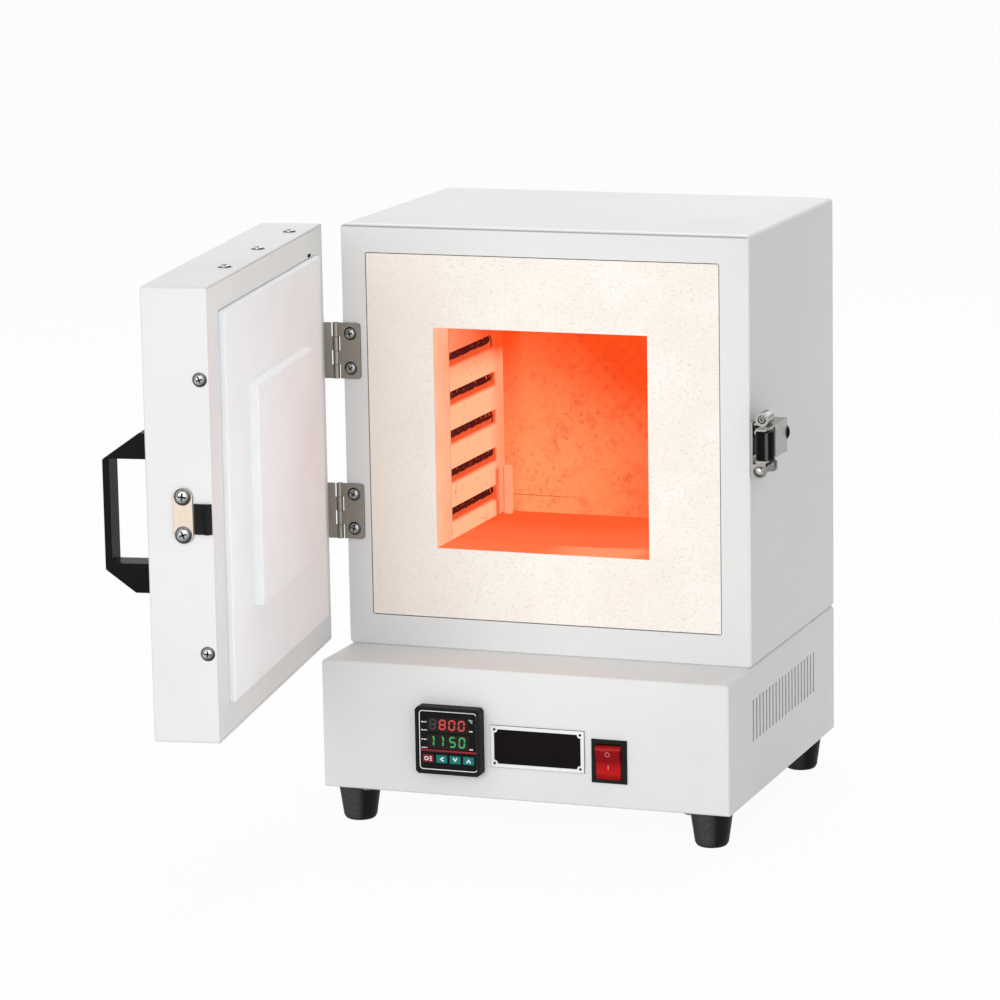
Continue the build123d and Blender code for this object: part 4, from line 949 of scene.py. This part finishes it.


# Pan head with a cross recess, on a washer: shares of the head's radius and height, and the
# rises of the dark bars, painted shade in the recess, and the washer in millimetres
headLook = {
    "slotWidth": 0.13, "slotReach": 0.6, "slotDepth": 0.75, "steps": 6, "spread": 1.12,
    "rim": 0.3, "shoulder": 0.42, "crown": 0.58, "roundness": 2.4,
    "dome": (0.995, 0.97, 0.92, 0.84, 0.74, 0.66), "snap": 1.0001,
    "mouth": 1.05, "mouthAt": 0.4, "mouthDrop": 0.04, "taper": 0.9, "taperRise": 0.2, "tip": 0.55,
    "turn": 0.35, "turnStep": 1.13, "barReach": 0.9, "barWidth": 0.34, "barRound": 0.2,
    "barSteps": 2, "barLift": 0.01, "barRise": 0.12, "washer": 1.5, "washerRise": 0.32,
    "washerEdge": 0.6, "washerTop": 0.94, "washerSteps": 40,
}


def addHead(work, head, turn):
    look = headLook
    foot = head["middle"] - head["axis"] * head["half"]
    radius, height = head["radius"] * look["spread"], 2 * head["half"]
    across, up, axis = frameOf(head["axis"])
    narrow, long = radius * look["slotWidth"], radius * look["slotReach"]
    corner = math.atan2(narrow, long)
    eighth = math.pi / 4
    angles = []
    for quarter in range(4):
        base = quarter * math.pi / 2
        angles += [base, base + corner]
        for start in (base + corner, base + eighth):
            for i in range(1, look["steps"] + 1):
                angles.append(start + (eighth - corner) * i / look["steps"])

    def crossReach(a):
        c, s = abs(math.cos(a)), abs(math.sin(a))
        if s <= c * math.tan(corner) * look["snap"]:
            return long / c
        if c <= s * math.tan(corner) * look["snap"]:
            return long / s
        return narrow / min(c, s)

    def ring(reach, rise):
        points = []
        for a in angles:
            outward = across * math.cos(a + turn) + up * math.sin(a + turn)
            points.append(foot + axis * rise + outward * reach(a))
        return points

    def dome(r):
        curve = math.sqrt(max(0.0, 1 - (r / radius) ** look["roundness"]))
        return height * (look["shoulder"] + look["crown"] * curve)

    floor = height * (1 - look["slotDepth"])
    mouth = dome(radius * look["mouthAt"])
    rings = [[foot], ring(lambda a: radius, 0), ring(lambda a: radius, height * look["rim"])]
    for share in look["dome"]:
        rings.append(ring(lambda a: radius * share, dome(radius * share)))
    recess = [
        (look["mouth"], mouth), (1, mouth - height * look["mouthDrop"]),
        (look["taper"], floor + height * look["taperRise"]), (look["tip"], floor),
    ]
    for share, rise in recess:
        rings.append(ring(lambda a: crossReach(a) * share, rise))
    rings.append([foot + axis * floor])
    addRings(work, rings)


def screwHeads(name, node, body, shell):
    look = headLook
    low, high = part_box(shell)
    work, dark, washers = bmesh.new(), bmesh.new(), bmesh.new()
    for i, head in enumerate(islandsOf(node)):
        offset = head["middle"] - (low + high) / 2
        head["axis"] = head["axis"] if head["axis"].dot(offset) > 0 else -head["axis"]
        foot = head["middle"] - head["axis"] * head["half"]
        angle = look["turn"] + i * look["turnStep"]
        addHead(work, head, angle)
        across, up, axis = frameOf(head["axis"])
        # Dark bars laid in the cross recess: painted shade
        reach = head["radius"] / mm * look["slotReach"] * look["barReach"]
        width = reach * look["barWidth"]
        bar = roundedBox(0, 0, 2 * reach, width, width * look["barRound"], look["barSteps"])
        for quarter in (0, math.pi / 2):
            lean = angle + quarter
            along = across * math.cos(lean) + up * math.sin(lean)
            aside = up * math.cos(lean) - across * math.sin(lean)
            rise = head["half"] * 2 / mm * (look["shoulder"] + quarter * look["barLift"])
            addSlab(dark, [bar], foot + axis * rise * mm, along, aside, look["barRise"])
        # Washers of darker steel, which also paint the shade round each head
        ring, top = head["radius"] / mm * look["washer"], look["washerRise"]
        profile = [(0, 0), (ring, 0), (ring, top * look["washerEdge"])]
        profile += [(ring * look["washerTop"], top), (0, top)]
        addTurned(washers, profile, foot, axis, look["washerSteps"])
    addPiece(name, work, body, "zincScrew", [node])
    addPiece(name + "Crosses", dark, body, "holeShade")
    addPiece(name + "Washers", washers, body, "washerSteelAndShade")


screwHeads("cabinetScrewHeads", "cabinet_screws", "oven", "cabinet_shell")
screwHeads("doorScrewHeads", "door_screws", "door", "door_outer_shell")
screwHeads("strikeScrewHeads", "strike_screws", "door", "door_outer_shell")
print("screw heads made")


# Tapered rubber feet with a rounded foot and a screw recess
footLook = {
    "top": 30, "bottom": 23, "round": 3, "roundSteps": 8, "bore": 9, "boreEdge": 0.4,
    "boreDepth": 12, "lip": 0.6, "lipDeep": 3,
}
for corner in footCorners:
    low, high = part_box("foot_" + corner)
    height = (high.z - low.z) / mm
    top, bottom, soft = footLook["top"] / 2, footLook["bottom"] / 2, footLook["round"]
    lip, bore, edge = footLook["lip"], footLook["bore"] / 2, footLook["boreEdge"]
    recess = footLook["boreDepth"] - height
    profile = [(0, 0), (top - lip, 0), (top, -lip), (top, -lip * footLook["lipDeep"])]
    profile += [(bottom + (top - bottom) * soft / height, soft - height)]
    profile += arcProfile(bottom - soft, soft - height, soft, 0, -90, footLook["roundSteps"])
    profile += [(bore + edge, -height), (bore, edge - height), (bore, recess), (0, recess)]
    centre = Vector(((low.x + high.x) / 2, (low.y + high.y) / 2, high.z))
    name, node = "foot" + corner.title().replace("_", ""), "foot_" + corner
    turnedPiece(name, profile, centre, alongZ, "oven", "blackRubber", node)

# Pivot pin with a domed, grooved cap at its near end
pinLook = {
    "cap": 4, "capLength": 3, "pin": 2, "groove": 0.5, "grooveFrom": 2.05, "grooveTo": 2.35,
    "rimFrom": 2.5, "end": 0.4, "steps": 40,
    "dome": [(0, 0), (0.45, 0.08), (0.72, 0.35), (0.9, 0.9), (1, 1.5), (1, 1.9)],
}
low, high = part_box("latch_pivot_pin")
length = (high.y - low.y) / mm
cap, pin, reach = pinLook["cap"], pinLook["pin"], pinLook["capLength"]
groove, end = cap - pinLook["groove"], pinLook["end"]
profile = [(cap * share, height) for share, height in pinLook["dome"]]
profile += [(groove, pinLook["grooveFrom"]), (groove, pinLook["grooveTo"])]
profile += [(cap, pinLook["rimFrom"]), (cap, reach), (pin, reach)]
profile += [(pin, length - end), (pin - end, length), (0, length)]
turnedPiece(
    "latchPivotPin", profile, nearMiddle(low, high), alongY,
    "oven", "platedLatch", "latch_pivot_pin", pinLook["steps"],
)

# Rolled sheet inside the curled grip
curlLook = {"outer": 2.9, "inner": 0.75, "sheet": 0.8, "turns": 1.6, "steps": 60}


def curlLine(side):
    look = curlLook
    half = look["sheet"] / 2
    line = []
    for i in range(look["steps"] + 1):
        share = i / look["steps"]
        a = 2 * math.pi * look["turns"] * share
        r = look["outer"] - half - (look["outer"] - look["inner"]) * share + side * half
        line.append((r * math.cos(a), r * math.sin(a)))
    return line


low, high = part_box("latch_grip_pin")
slabPiece(
    "latchGripCurl", [curlLine(1) + curlLine(-1)[::-1]], nearMiddle(low, high),
    (low.y - high.y) / mm, "latch_arm", "platedLatch", ["latch_grip_pin"],
)

# Domed rubber cap at the far end of the latch
capLook = {"shoulder": 1.6, "steps": 14}
low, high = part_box("latch_end_cap")
radius, depth = (high.x - low.x) / 2 / mm, (high.y - low.y) / mm
crown = depth - capLook["shoulder"]
profile = [(0, 0), (radius, 0), (radius, depth - crown)]
for i in range(1, capLook["steps"] + 1):
    a = math.pi / 2 * i / capLook["steps"]
    profile.append((radius * math.cos(a), depth - crown + crown * math.sin(a)))
turnedPiece(
    "latchDome", profile, nearMiddle(low, high), alongY,
    "latch_arm", "handleEnamel", "latch_end_cap",
)

# Thermocouple sheath with a rounded tip
sheathSize = {
    "collar": 7, "collarHeight": 10, "radius": 3.5, "tip": 2.4, "tipSteps": 8, "steps": 40,
}
low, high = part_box("thermocouple_tube")
height = (high.z - low.z) / mm
collar, collarHeight = sheathSize["collar"], sheathSize["collarHeight"]
radius, tip = sheathSize["radius"], sheathSize["tip"]
profile = [(0, 0), (collar, 0), (collar, collarHeight), (radius, collarHeight)]
profile += [(radius, height - tip)]
profile += arcProfile(radius - tip, height - tip, tip, 0, 90, sheathSize["tipSteps"])[1:]
profile += [(0, height)]
turnedPiece(
    "thermocoupleSheath", profile, Vector(((low.x + high.x) / 2, (low.y + high.y) / 2, low.z)),
    alongZ, "oven", "sheath", "thermocouple_tube", sheathSize["steps"],
)
print("feet, cap and sheath made")


# Close-wound heating coils: five runs in the grooves, joined at alternate ends
coilLook = {
    "wire": 0.9, "radius": 3.1, "runs": 5, "pitch": 28, "grooveHeight": 8, "turn": 1.8,
    "seat": 0.25, "sides": 6, "perTurn": 10, "inset": 1.5, "drift": 2.4, "driftWave": (26, 3.7, 1),
    "uneven": 0.6, "unevenWave": (0.7, 5.3, 7), "usual": 0.88, "most": 1.08,
}


def coilPoints(side):
    look = coilLook
    low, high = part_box("heating_coil_" + side)
    middle = (low.x + high.x) / 2
    wire, radius = look["wire"] * mm, look["radius"] * mm
    lift = radius + wire / 2 + (look["seat"] - look["grooveHeight"] / 2) * mm
    topRun = high.z - look["grooveHeight"] / 2 * mm + lift
    front, back = low.y + wire * look["inset"], high.y - wire * look["inset"]
    count = int((back - front) / mm / look["turn"]) * look["perTurn"]
    way = 1 if side == "right" else -1
    driftStep, driftRun, driftSeed = look["driftWave"]
    unevenStep, unevenRun, unevenSeed = look["unevenWave"]
    points = []
    for run in range(look["runs"]):
        height = topRun - run * look["pitch"] * mm
        start, end = (front, back) if run % 2 == 0 else (back, front)
        for i in range(count + 1):
            share, turn = i / count, i / look["perTurn"]
            angle = 2 * math.pi * turn * way
            drift = noise.noise(Vector((share * driftStep, run * driftRun, driftSeed)))
            drift = drift * look["drift"] * mm
            y = start + (end - start) * share + drift * math.sin(math.pi * share)
            uneven = noise.noise(Vector((turn * unevenStep, run * unevenRun, unevenSeed)))
            wobble = radius * (look["usual"] + look["uneven"] * uneven)
            wobble = min(radius * look["most"], wobble)
            x, z = middle + wobble * math.cos(angle), height + wobble * math.sin(angle)
            points.append(Vector((x, y, z)))
    return points


for side in ("left", "right"):
    wirePiece(
        "heatingCoil" + side.title(), coilPoints(side), coilLook["wire"] * mm / 2,
        coilLook["sides"], "wire", "heating_coil_" + side,
    )

# Torsion spring: close turns round the pivot, one leg on the plate, one under the arm
springLook = {"wire": 1.1, "turns": 6, "steps": 28, "clear": 0.35, "sides": 10}
low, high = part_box("latch_spring")
pivot = nearMiddle(*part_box("latch_pivot_pin"))
wire = springLook["wire"] * mm
pivotRadius = pinLook["pin"] * mm + springLook["clear"] * mm + wire / 2


def springPoint(i, y):
    angle = -math.pi / 2 + 2 * math.pi * i / springLook["steps"]
    x, z = pivotRadius * math.cos(angle), pivotRadius * math.sin(angle)
    return Vector((pivot.x + x, y, pivot.z + z))


points = [Vector((low.x, low.y + wire / 2, pivot.z - pivotRadius))]
count = springLook["turns"] * springLook["steps"]
for i in range(count + 1):
    points.append(springPoint(i, low.y + wire / 2 + (high.y - low.y - wire) * i / count))
for i in range(1, springLook["steps"] // 2 + 1):
    points.append(springPoint(i, points[-1].y))
points.append(Vector((points[-1].x, points[-1].y, high.z)))
wirePiece(
    "latchTorsionSpring", points, wire / 2, springLook["sides"],
    "platedLatch", "latch_spring",
)
print("coils and spring made")


# Wool blankets: the solids' outlines with a lumpy, matted skin
woolLook = {"size": 22, "rounds": 3, "lump": 0.9, "lumpSize": 60}


def woolPiece(name, node, body):
    work = bmesh.new()
    work.from_mesh(cadNodes[node].data)
    bmesh.ops.remove_doubles(work, verts=work.verts, dist=weld * mm)
    for _ in range(woolLook["rounds"]):
        long = [edge for edge in work.edges if edge.calc_length() > woolLook["size"] * mm]
        bmesh.ops.subdivide_edges(work, edges=long, cuts=1)
    bmesh.ops.triangulate(work, faces=work.faces)
    work.normal_update()
    moves = []
    for vert in work.verts:
        lump = (noise.noise(vert.co * woolLook["lumpSize"]) - 1) * woolLook["lump"] / 2 * mm
        moves.append((vert, vert.normal * lump))
    for vert, move in moves:
        vert.co += move
    addPiece(name, work, body, "mineralWool", [node], 60)


woolPiece("cabinetWoolBlanket", "insulation_wool", "oven")
woolPiece("doorWoolBlanket", "door_wool", "door")


# Name plate: printed white border, a ring round each fixing, all else bare
plateLook = {
    "border": 2.7, "outerRound": 0.6, "innerRound": 0.2, "margin": 0.3, "ringRadius": 2.3,
    "dotRadius": 0.95, "insetX": 3.0, "insetZ": 2.9, "ink": 0.12, "ringInk": 1.3,
    "pin": [(0, 0), (0.98, 0), (0.98, 0.22), (0.7, 0.42), (0, 0.5)], "pinSteps": 24,
}
low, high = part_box("name_plate")
width, height = (high.x - low.x) / mm, (high.z - low.z) / mm
origin = nearMiddle(low, high)
fixings = [
    (sx * (width / 2 - plateLook["insetX"]), sz * (height / 2 - plateLook["insetZ"]))
    for sx in (-1, 1) for sz in (-1, 1)
]
border, margin = 2 * plateLook["border"], plateLook["margin"]
outer = roundedBox(0, 0, width - margin, height - margin, plateLook["outerRound"])
inner = roundedBox(0, 0, width - border, height - border, plateLook["innerRound"])
rings = [
    (circleLine(x, z, plateLook["ringRadius"]), circleLine(x, z, plateLook["dotRadius"]))
    for x, z in fixings
]
work = bmesh.new()
addSlab(work, [(outer, inner)], origin, alongX, alongZ, plateLook["ink"])
addSlab(work, rings, origin, alongX, alongZ, plateLook["ink"] * plateLook["ringInk"])
addPiece("namePlateBorder", work, "oven", "whiteInk")
work = bmesh.new()
profile = [(plateLook["dotRadius"] * share, rise) for share, rise in plateLook["pin"]]
for x, z in fixings:
    centre = origin + (alongX * x + alongZ * z) * mm
    addTurned(work, profile, centre, -alongY, plateLook["pinSteps"])
addPiece("namePlatePins", work, "oven", "blackEnamel", ["name_plate_rivets"])
print("wool and name plate made")


# Controller face: printed border, two displays, marks, and signs on the keys. The red display
# has one figure more than its text, all unlit.
faceLook = {
    "ink": 0.08, "digitInk": 1.6,
    "border": (0.55, 0.35), "borderSize": (43.1, 42.5), "borderRound": 2.6, "borderLine": 0.6,
    "panes": [(0.2, 11.6, 31.0, 10.0), (0.4, -0.4, 31.0, 10.3)], "paneRound": 0.4,
    "stripe": (0.6, -7.0, 41.4, 1.2, 0.1),
    "lean": 0.06, "stroke": 1.15, "gap": 0.12, "point": 0.8, "flag": 0.75,
    "red": {"text": "800", "height": 7.6, "width": 5.1, "pitch": 7.1, "right": 10.6, "z": 11.9},
    "green": {"text": "1150", "height": 7.9, "width": 4.9, "pitch": 7.0, "right": 10.8, "z": -0.2},
}
segmentsOf = {"0": "abcdef", "1": "ijh", "5": "afgcd", "8": "abcdefg"}


def segmentShapes(look, place, lit):
    x, z = look["right"] - place * look["pitch"], look["z"]
    lean, gap = faceLook["lean"], faceLook["gap"]
    t = faceLook["stroke"] / 2
    w, h = look["width"] / 2 - t, look["height"] / 2 - t
    ends = {
        "a": ((-w, h), (w, h)), "g": ((-w, 0), (w, 0)), "d": ((-w, -h), (w, -h)),
        "f": ((-w, 0), (-w, h)), "b": ((w, 0), (w, h)), "e": ((-w, -h), (-w, 0)),
        "c": ((w, -h), (w, 0)), "i": ((0, 0), (0, h)), "j": ((0, -h), (0, 0)),
        "h": ((-w * faceLook["flag"], h - t), (0, h)),
    }
    shapes = []
    for key in lit:
        (x0, z0), (x1, z1) = ends[key]
        length = math.hypot(x1 - x0, z1 - z0)
        ux, uz = (x1 - x0) / length, (z1 - z0) / length
        near, far = gap + t * faceLook["point"], length - gap - t * faceLook["point"]
        outline = []
        for along, out in ((gap, 0), (near, t), (far, t), (length - gap, 0), (far, -t), (near, -t)):
            px = x0 + ux * along - uz * out
            pz = z0 + uz * along + ux * out
            outline.append((x + px + pz * lean, z + pz))
        shapes.append(outline)
    return shapes


bezelLow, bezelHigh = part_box("controller_bezel")
faceOrigin = nearMiddle(bezelLow, bezelHigh)
faceOrigin.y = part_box("controller_window")[0].y


def facePiece(name, shapes, finish, rise):
    slabPiece(name, shapes, faceOrigin, rise, "oven", finish)


def faceBorder():
    (x, z), (width, height) = faceLook["border"], faceLook["borderSize"]
    radius, line = faceLook["borderRound"], faceLook["borderLine"]
    inner = roundedBox(x, z, width - 2 * line, height - 2 * line, radius - line)
    return roundedBox(x, z, width, height, radius), inner


ink = faceLook["ink"]
panes = [roundedBox(*pane, faceLook["paneRound"]) for pane in faceLook["panes"]]
facePiece("displayBorder", [faceBorder()], "whiteInk", ink)
facePiece("displayPanes", panes, "displayPane", ink / 2)
facePiece("displayStripe", [roundedBox(*faceLook["stripe"])], "redInk", ink)
for name in ("red", "green"):
    shapes = []
    for i, figure in enumerate(reversed(faceLook[name]["text"])):
        shapes += segmentShapes(faceLook[name], i, segmentsOf[figure])
    facePiece(name + "Digits", shapes, name + "Digits", ink * faceLook["digitInk"])
unlit = segmentShapes(faceLook["red"], len(faceLook["red"]["text"]), segmentsOf["8"])
facePiece("unlitDigits", unlit, "unlitDigits", ink)

# Short plain marks beside the displays: no words, only bars, a ring, an arc and squares
markLook = {
    "rows": (13.2, 7.4, 0.7, -5.2), "bars": [(-18.7, 1.2), (-17.2, 0.9)], "last": (-15.9, 0.8),
    "shift": 0.2, "height": 0.8, "round": 0.15,
    "ring": (16.7, 16.4), "ringRadii": (0.55, 0.25), "ringSteps": 16,
    "arc": (18.4, 15.4), "arcOuter": (1.0, 1.1), "arcInner": (0.6, 0.7), "arcAngles": (50, 311, 20),
    "squares": [(x, z) for z in (8.4, -4.6) for x in (16.9, 18.3)], "square": (1.0, 1.0, 0.2),
}


def arcLine(radii, angles):
    (x, z), (wide, tall) = markLook["arc"], radii
    turns = [math.radians(a) for a in angles]
    return [(x + wide * math.cos(a), z + tall * math.sin(a)) for a in turns]


def markShapes():
    look = markLook
    shapes = []
    for row, z in enumerate(look["rows"]):
        bars = look["bars"] + [(look["last"][0] + look["shift"] * (row % 2), look["last"][1])]
        shapes += [roundedBox(x, z, width, look["height"], look["round"]) for x, width in bars]
    shapes.append(tuple(circleLine(*look["ring"], r, look["ringSteps"]) for r in look["ringRadii"]))
    angles = list(range(*look["arcAngles"]))
    shapes.append(arcLine(look["arcOuter"], angles) + arcLine(look["arcInner"], angles[::-1]))
    return shapes + [roundedBox(x, z, *look["square"]) for x, z in look["squares"]]


facePiece("displayMarks", markShapes(), "whiteInk", ink)

# Signs on the keys: three chevrons, and a ring with three bars
signLook = {
    "reach": 1.45, "span": 1.75, "line": 0.85, "blunt": 0.8, "thick": 1.6,
    "ring": (-1.3, 0), "ringRadii": (1.55, 0.95), "ringSteps": 20,
    "bars": [(1.9, 0, 1.7, 0.65, 0.1), (1.9, 1.25, 1.7, 0.6, 0.1), (1.9, -1.25, 1.7, 0.6, 0.1)],
}


def chevron(angle):
    reach, span, line = signLook["reach"], signLook["span"], signLook["line"]
    low, high = reach - line / 2, reach + line / 2
    short = span - line * signLook["blunt"]
    points = [
        (-reach, 0), (low, span), (high, short),
        (-reach + line * signLook["thick"], 0), (high, -short), (low, -span),
    ]
    c, s = math.cos(angle), math.sin(angle)
    return [(x * c - z * s, x * s + z * c) for x, z in points]


keyRing = tuple(
    circleLine(*signLook["ring"], r, signLook["ringSteps"]) for r in signLook["ringRadii"]
)
signs = {
    "key_left": [chevron(0)], "key_down": [chevron(math.pi / 2)], "key_up": [chevron(-math.pi / 2)],
    "key_set": [keyRing] + [roundedBox(*bar) for bar in signLook["bars"]],
}
for node, shapes in signs.items():
    middle = nearMiddle(*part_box(node))
    slot = "red_key" if node == "key_set" else "teal_key"
    slabPiece(node.replace("key_", "signOfKey"), shapes, middle, ink, node, "whiteInk")
print("controller face made")


# Small dark oval in the door's border, near its top edge: painted shade of a small hole
holeLook = {"fromEdge": 36, "fromTop": 16.2, "width": 9, "height": 2.4, "deep": 0.15, "steps": 24}
border = islandsOf("door_inner_frame")[0]
outward = border["axis"] if border["axis"].x > 0 else -border["axis"]
along = alongZ.cross(outward).normalized()
reaches = [vert.co.dot(along) for vert in cadNodes["door_inner_frame"].data.vertices]
depths = [vert.co.dot(outward) for vert in cadNodes["door_inner_frame"].data.vertices]
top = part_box("door_inner_frame")[1].z
place = along * (max(reaches) - holeLook["fromEdge"] * mm) + outward * max(depths)
place += alongZ * (top - holeLook["fromTop"] * mm)
width, height = holeLook["width"] / 2, holeLook["height"] / 2
oval = [(x * width, z * height) for x, z in circleLine(0, 0, 1, holeLook["steps"])]
work = bmesh.new()
addSlab(work, [oval], place, along, alongZ, holeLook["deep"])
addPiece("doorHoleShade", work, "door", "holeShade")


# Rocker signs: a ring above and a bar below, each laid on the rocker's own face
rockerMarks = {
    "lift": 0.05, "ink": 0.1, "before": 0.05, "ring": (6.0, 1.75, 1.4),
    "bar": (-3.6, 0.42, 3.2, 0.2),
}


def surfaceAt(node, start, way):
    mesh = cadNodes[node].data
    corners = [list(face.vertices) for face in mesh.polygons]
    tree = BVHTree.FromPolygons([vert.co for vert in mesh.vertices], corners)
    point, normal = tree.ray_cast(start, way)[:2]
    return point, normal if normal.dot(way) < 0 else -normal


low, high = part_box("switch_body")
middle = (low + high) / 2
ringRise, ringOuter, ringInner = rockerMarks["ring"]
barRise, *barBox = rockerMarks["bar"]
marks = {
    "rockerRing": (ringRise, [(circleLine(0, 0, ringOuter), circleLine(0, 0, ringInner))]),
    "rockerBar": (barRise, [roundedBox(0, 0, *barBox)]),
}
for name, (rise, shapes) in marks.items():
    start = Vector((middle.x, low.y - rockerMarks["before"], middle.z + rise * mm))
    point, normal = surfaceAt("switch_rocker", start, alongY)
    slope = (alongZ - normal * normal.z).normalized()
    origin = point + normal * rockerMarks["lift"] * mm
    slabPiece(
        name, shapes, origin, rockerMarks["ink"], "switch_rocker", "palePinkInk",
        up=slope,
    )
print("rocker signs made")


# Camera at the photograph's angle, in the oven's own measures
cameraView = {
    "place": (1013.6, -2805.2, 798.8), "right": (0.940013, 0.340704, -0.017205),
    "down": (0.049627, -0.186472, -0.981206), "lens": 158.8, "sensor": 36, "reach": 50,
}
lensData = bpy.data.cameras.new("photoCamera")
lensData.sensor_width = cameraView["sensor"]
lensData.lens = cameraView["lens"]
lensData.clip_end = cameraView["reach"]
camera = bpy.data.objects.new("photoCamera", lensData)
bpy.context.scene.collection.objects.link(camera)
right = Vector(cameraView["right"]).normalized()
up = -Vector(cameraView["down"])
up = (up - right * up.dot(right)).normalized()
turn = Matrix((right, up, right.cross(up))).transposed().to_4x4()
camera.matrix_world = Matrix.Translation(spot(*cameraView["place"])) @ turn
bpy.context.scene.camera = camera

# Pale floor that keeps a soft shadow, a large lamp in front on the left, a lamp above, and a
# small one at the door
stageLook = {
    "size": 20, "floor": 0.86, "vary": 0.99, "grain": (40, 2), "screen": 0.95,
    "worldLight": 0.56, "white": (1, 1, 1, 1),
}
lamps = {
    "keyLamp": {
        "place": (-0.5, -6.2, 1.5), "aim": (0, 0, 0.2), "size": 4.0, "power": 150,
        "colour": (1, 1, 0.99),
    },
    "topLamp": {
        "place": (0, 1.5, 2.3), "aim": (0, 0, 0.4), "size": 1.6, "power": 22,
        "colour": (1, 1, 1),
    },
    "doorLamp": {
        "place": (0.14, -0.33, 0.28), "aim": (-0.22, -0.2, 0.27), "size": 0.36, "power": 0.29,
        "colour": (0.97, 0.99, 1),
    },
}


def softWhite():
    g, where = newGraph("paleFloor")
    floor, white = stageLook["floor"], stageLook["white"]
    tones = [(bright,) * 3 + (1,) for bright in (floor, floor * stageLook["vary"])]
    shade = g.mix(g.noise(where, *stageLook["grain"]), *tones)
    matte = g.node("ShaderNodeBsdfDiffuse", {}, {"Color": shade})
    plain = g.node("ShaderNodeEmission", {}, {"Color": white, "Strength": 1.0})
    shown = g.shownPlainly() * stageLook["screen"]
    both = g.node("ShaderNodeMixShader", {}, {0: shown, 1: matte, 2: plain})
    g.node("ShaderNodeOutputMaterial", {}, {"Surface": both})
    return g.owner


def backdrop():
    g = Graph(bpy.context.scene.world or bpy.data.worlds.new("studio"))
    bpy.context.scene.world = g.owner
    lights = [
        g.node("ShaderNodeBackground", {}, {"Color": stageLook["white"], "Strength": strength})
        for strength in (stageLook["worldLight"], 1.0)
    ]
    both = g.node("ShaderNodeMixShader", {}, {0: g.shownPlainly(), 1: lights[0], 2: lights[1]})
    g.node("ShaderNodeOutputWorld", {}, {"Surface": both})


reach = stageLook["size"] / 2
corners = [(-reach, -reach, 0), (reach, -reach, 0), (reach, reach, 0), (-reach, reach, 0)]
floorMesh = bpy.data.meshes.new("floor")
floorMesh.from_pydata(corners, [], [(0, 1, 2, 3)])
floorMesh.materials.append(softWhite())
floor = bpy.data.objects.new("floor", floorMesh)
bpy.context.scene.collection.objects.link(floor)
backdrop()
for name, look in lamps.items():
    data = bpy.data.lights.new(name, "AREA")
    data.shape = "DISK"
    data.size = look["size"]
    data.energy = look["power"]
    data.color = look["colour"]
    lamp = bpy.data.objects.new(name, data)
    lamp.location = look["place"]
    lamp.rotation_euler = (Vector(look["aim"]) - lamp.location).to_track_quat("-Z", "Y").to_euler()
    bpy.context.scene.collection.objects.link(lamp)
bpy.context.scene.view_settings.view_transform = "Standard"
print("stage, camera and lamps ready")
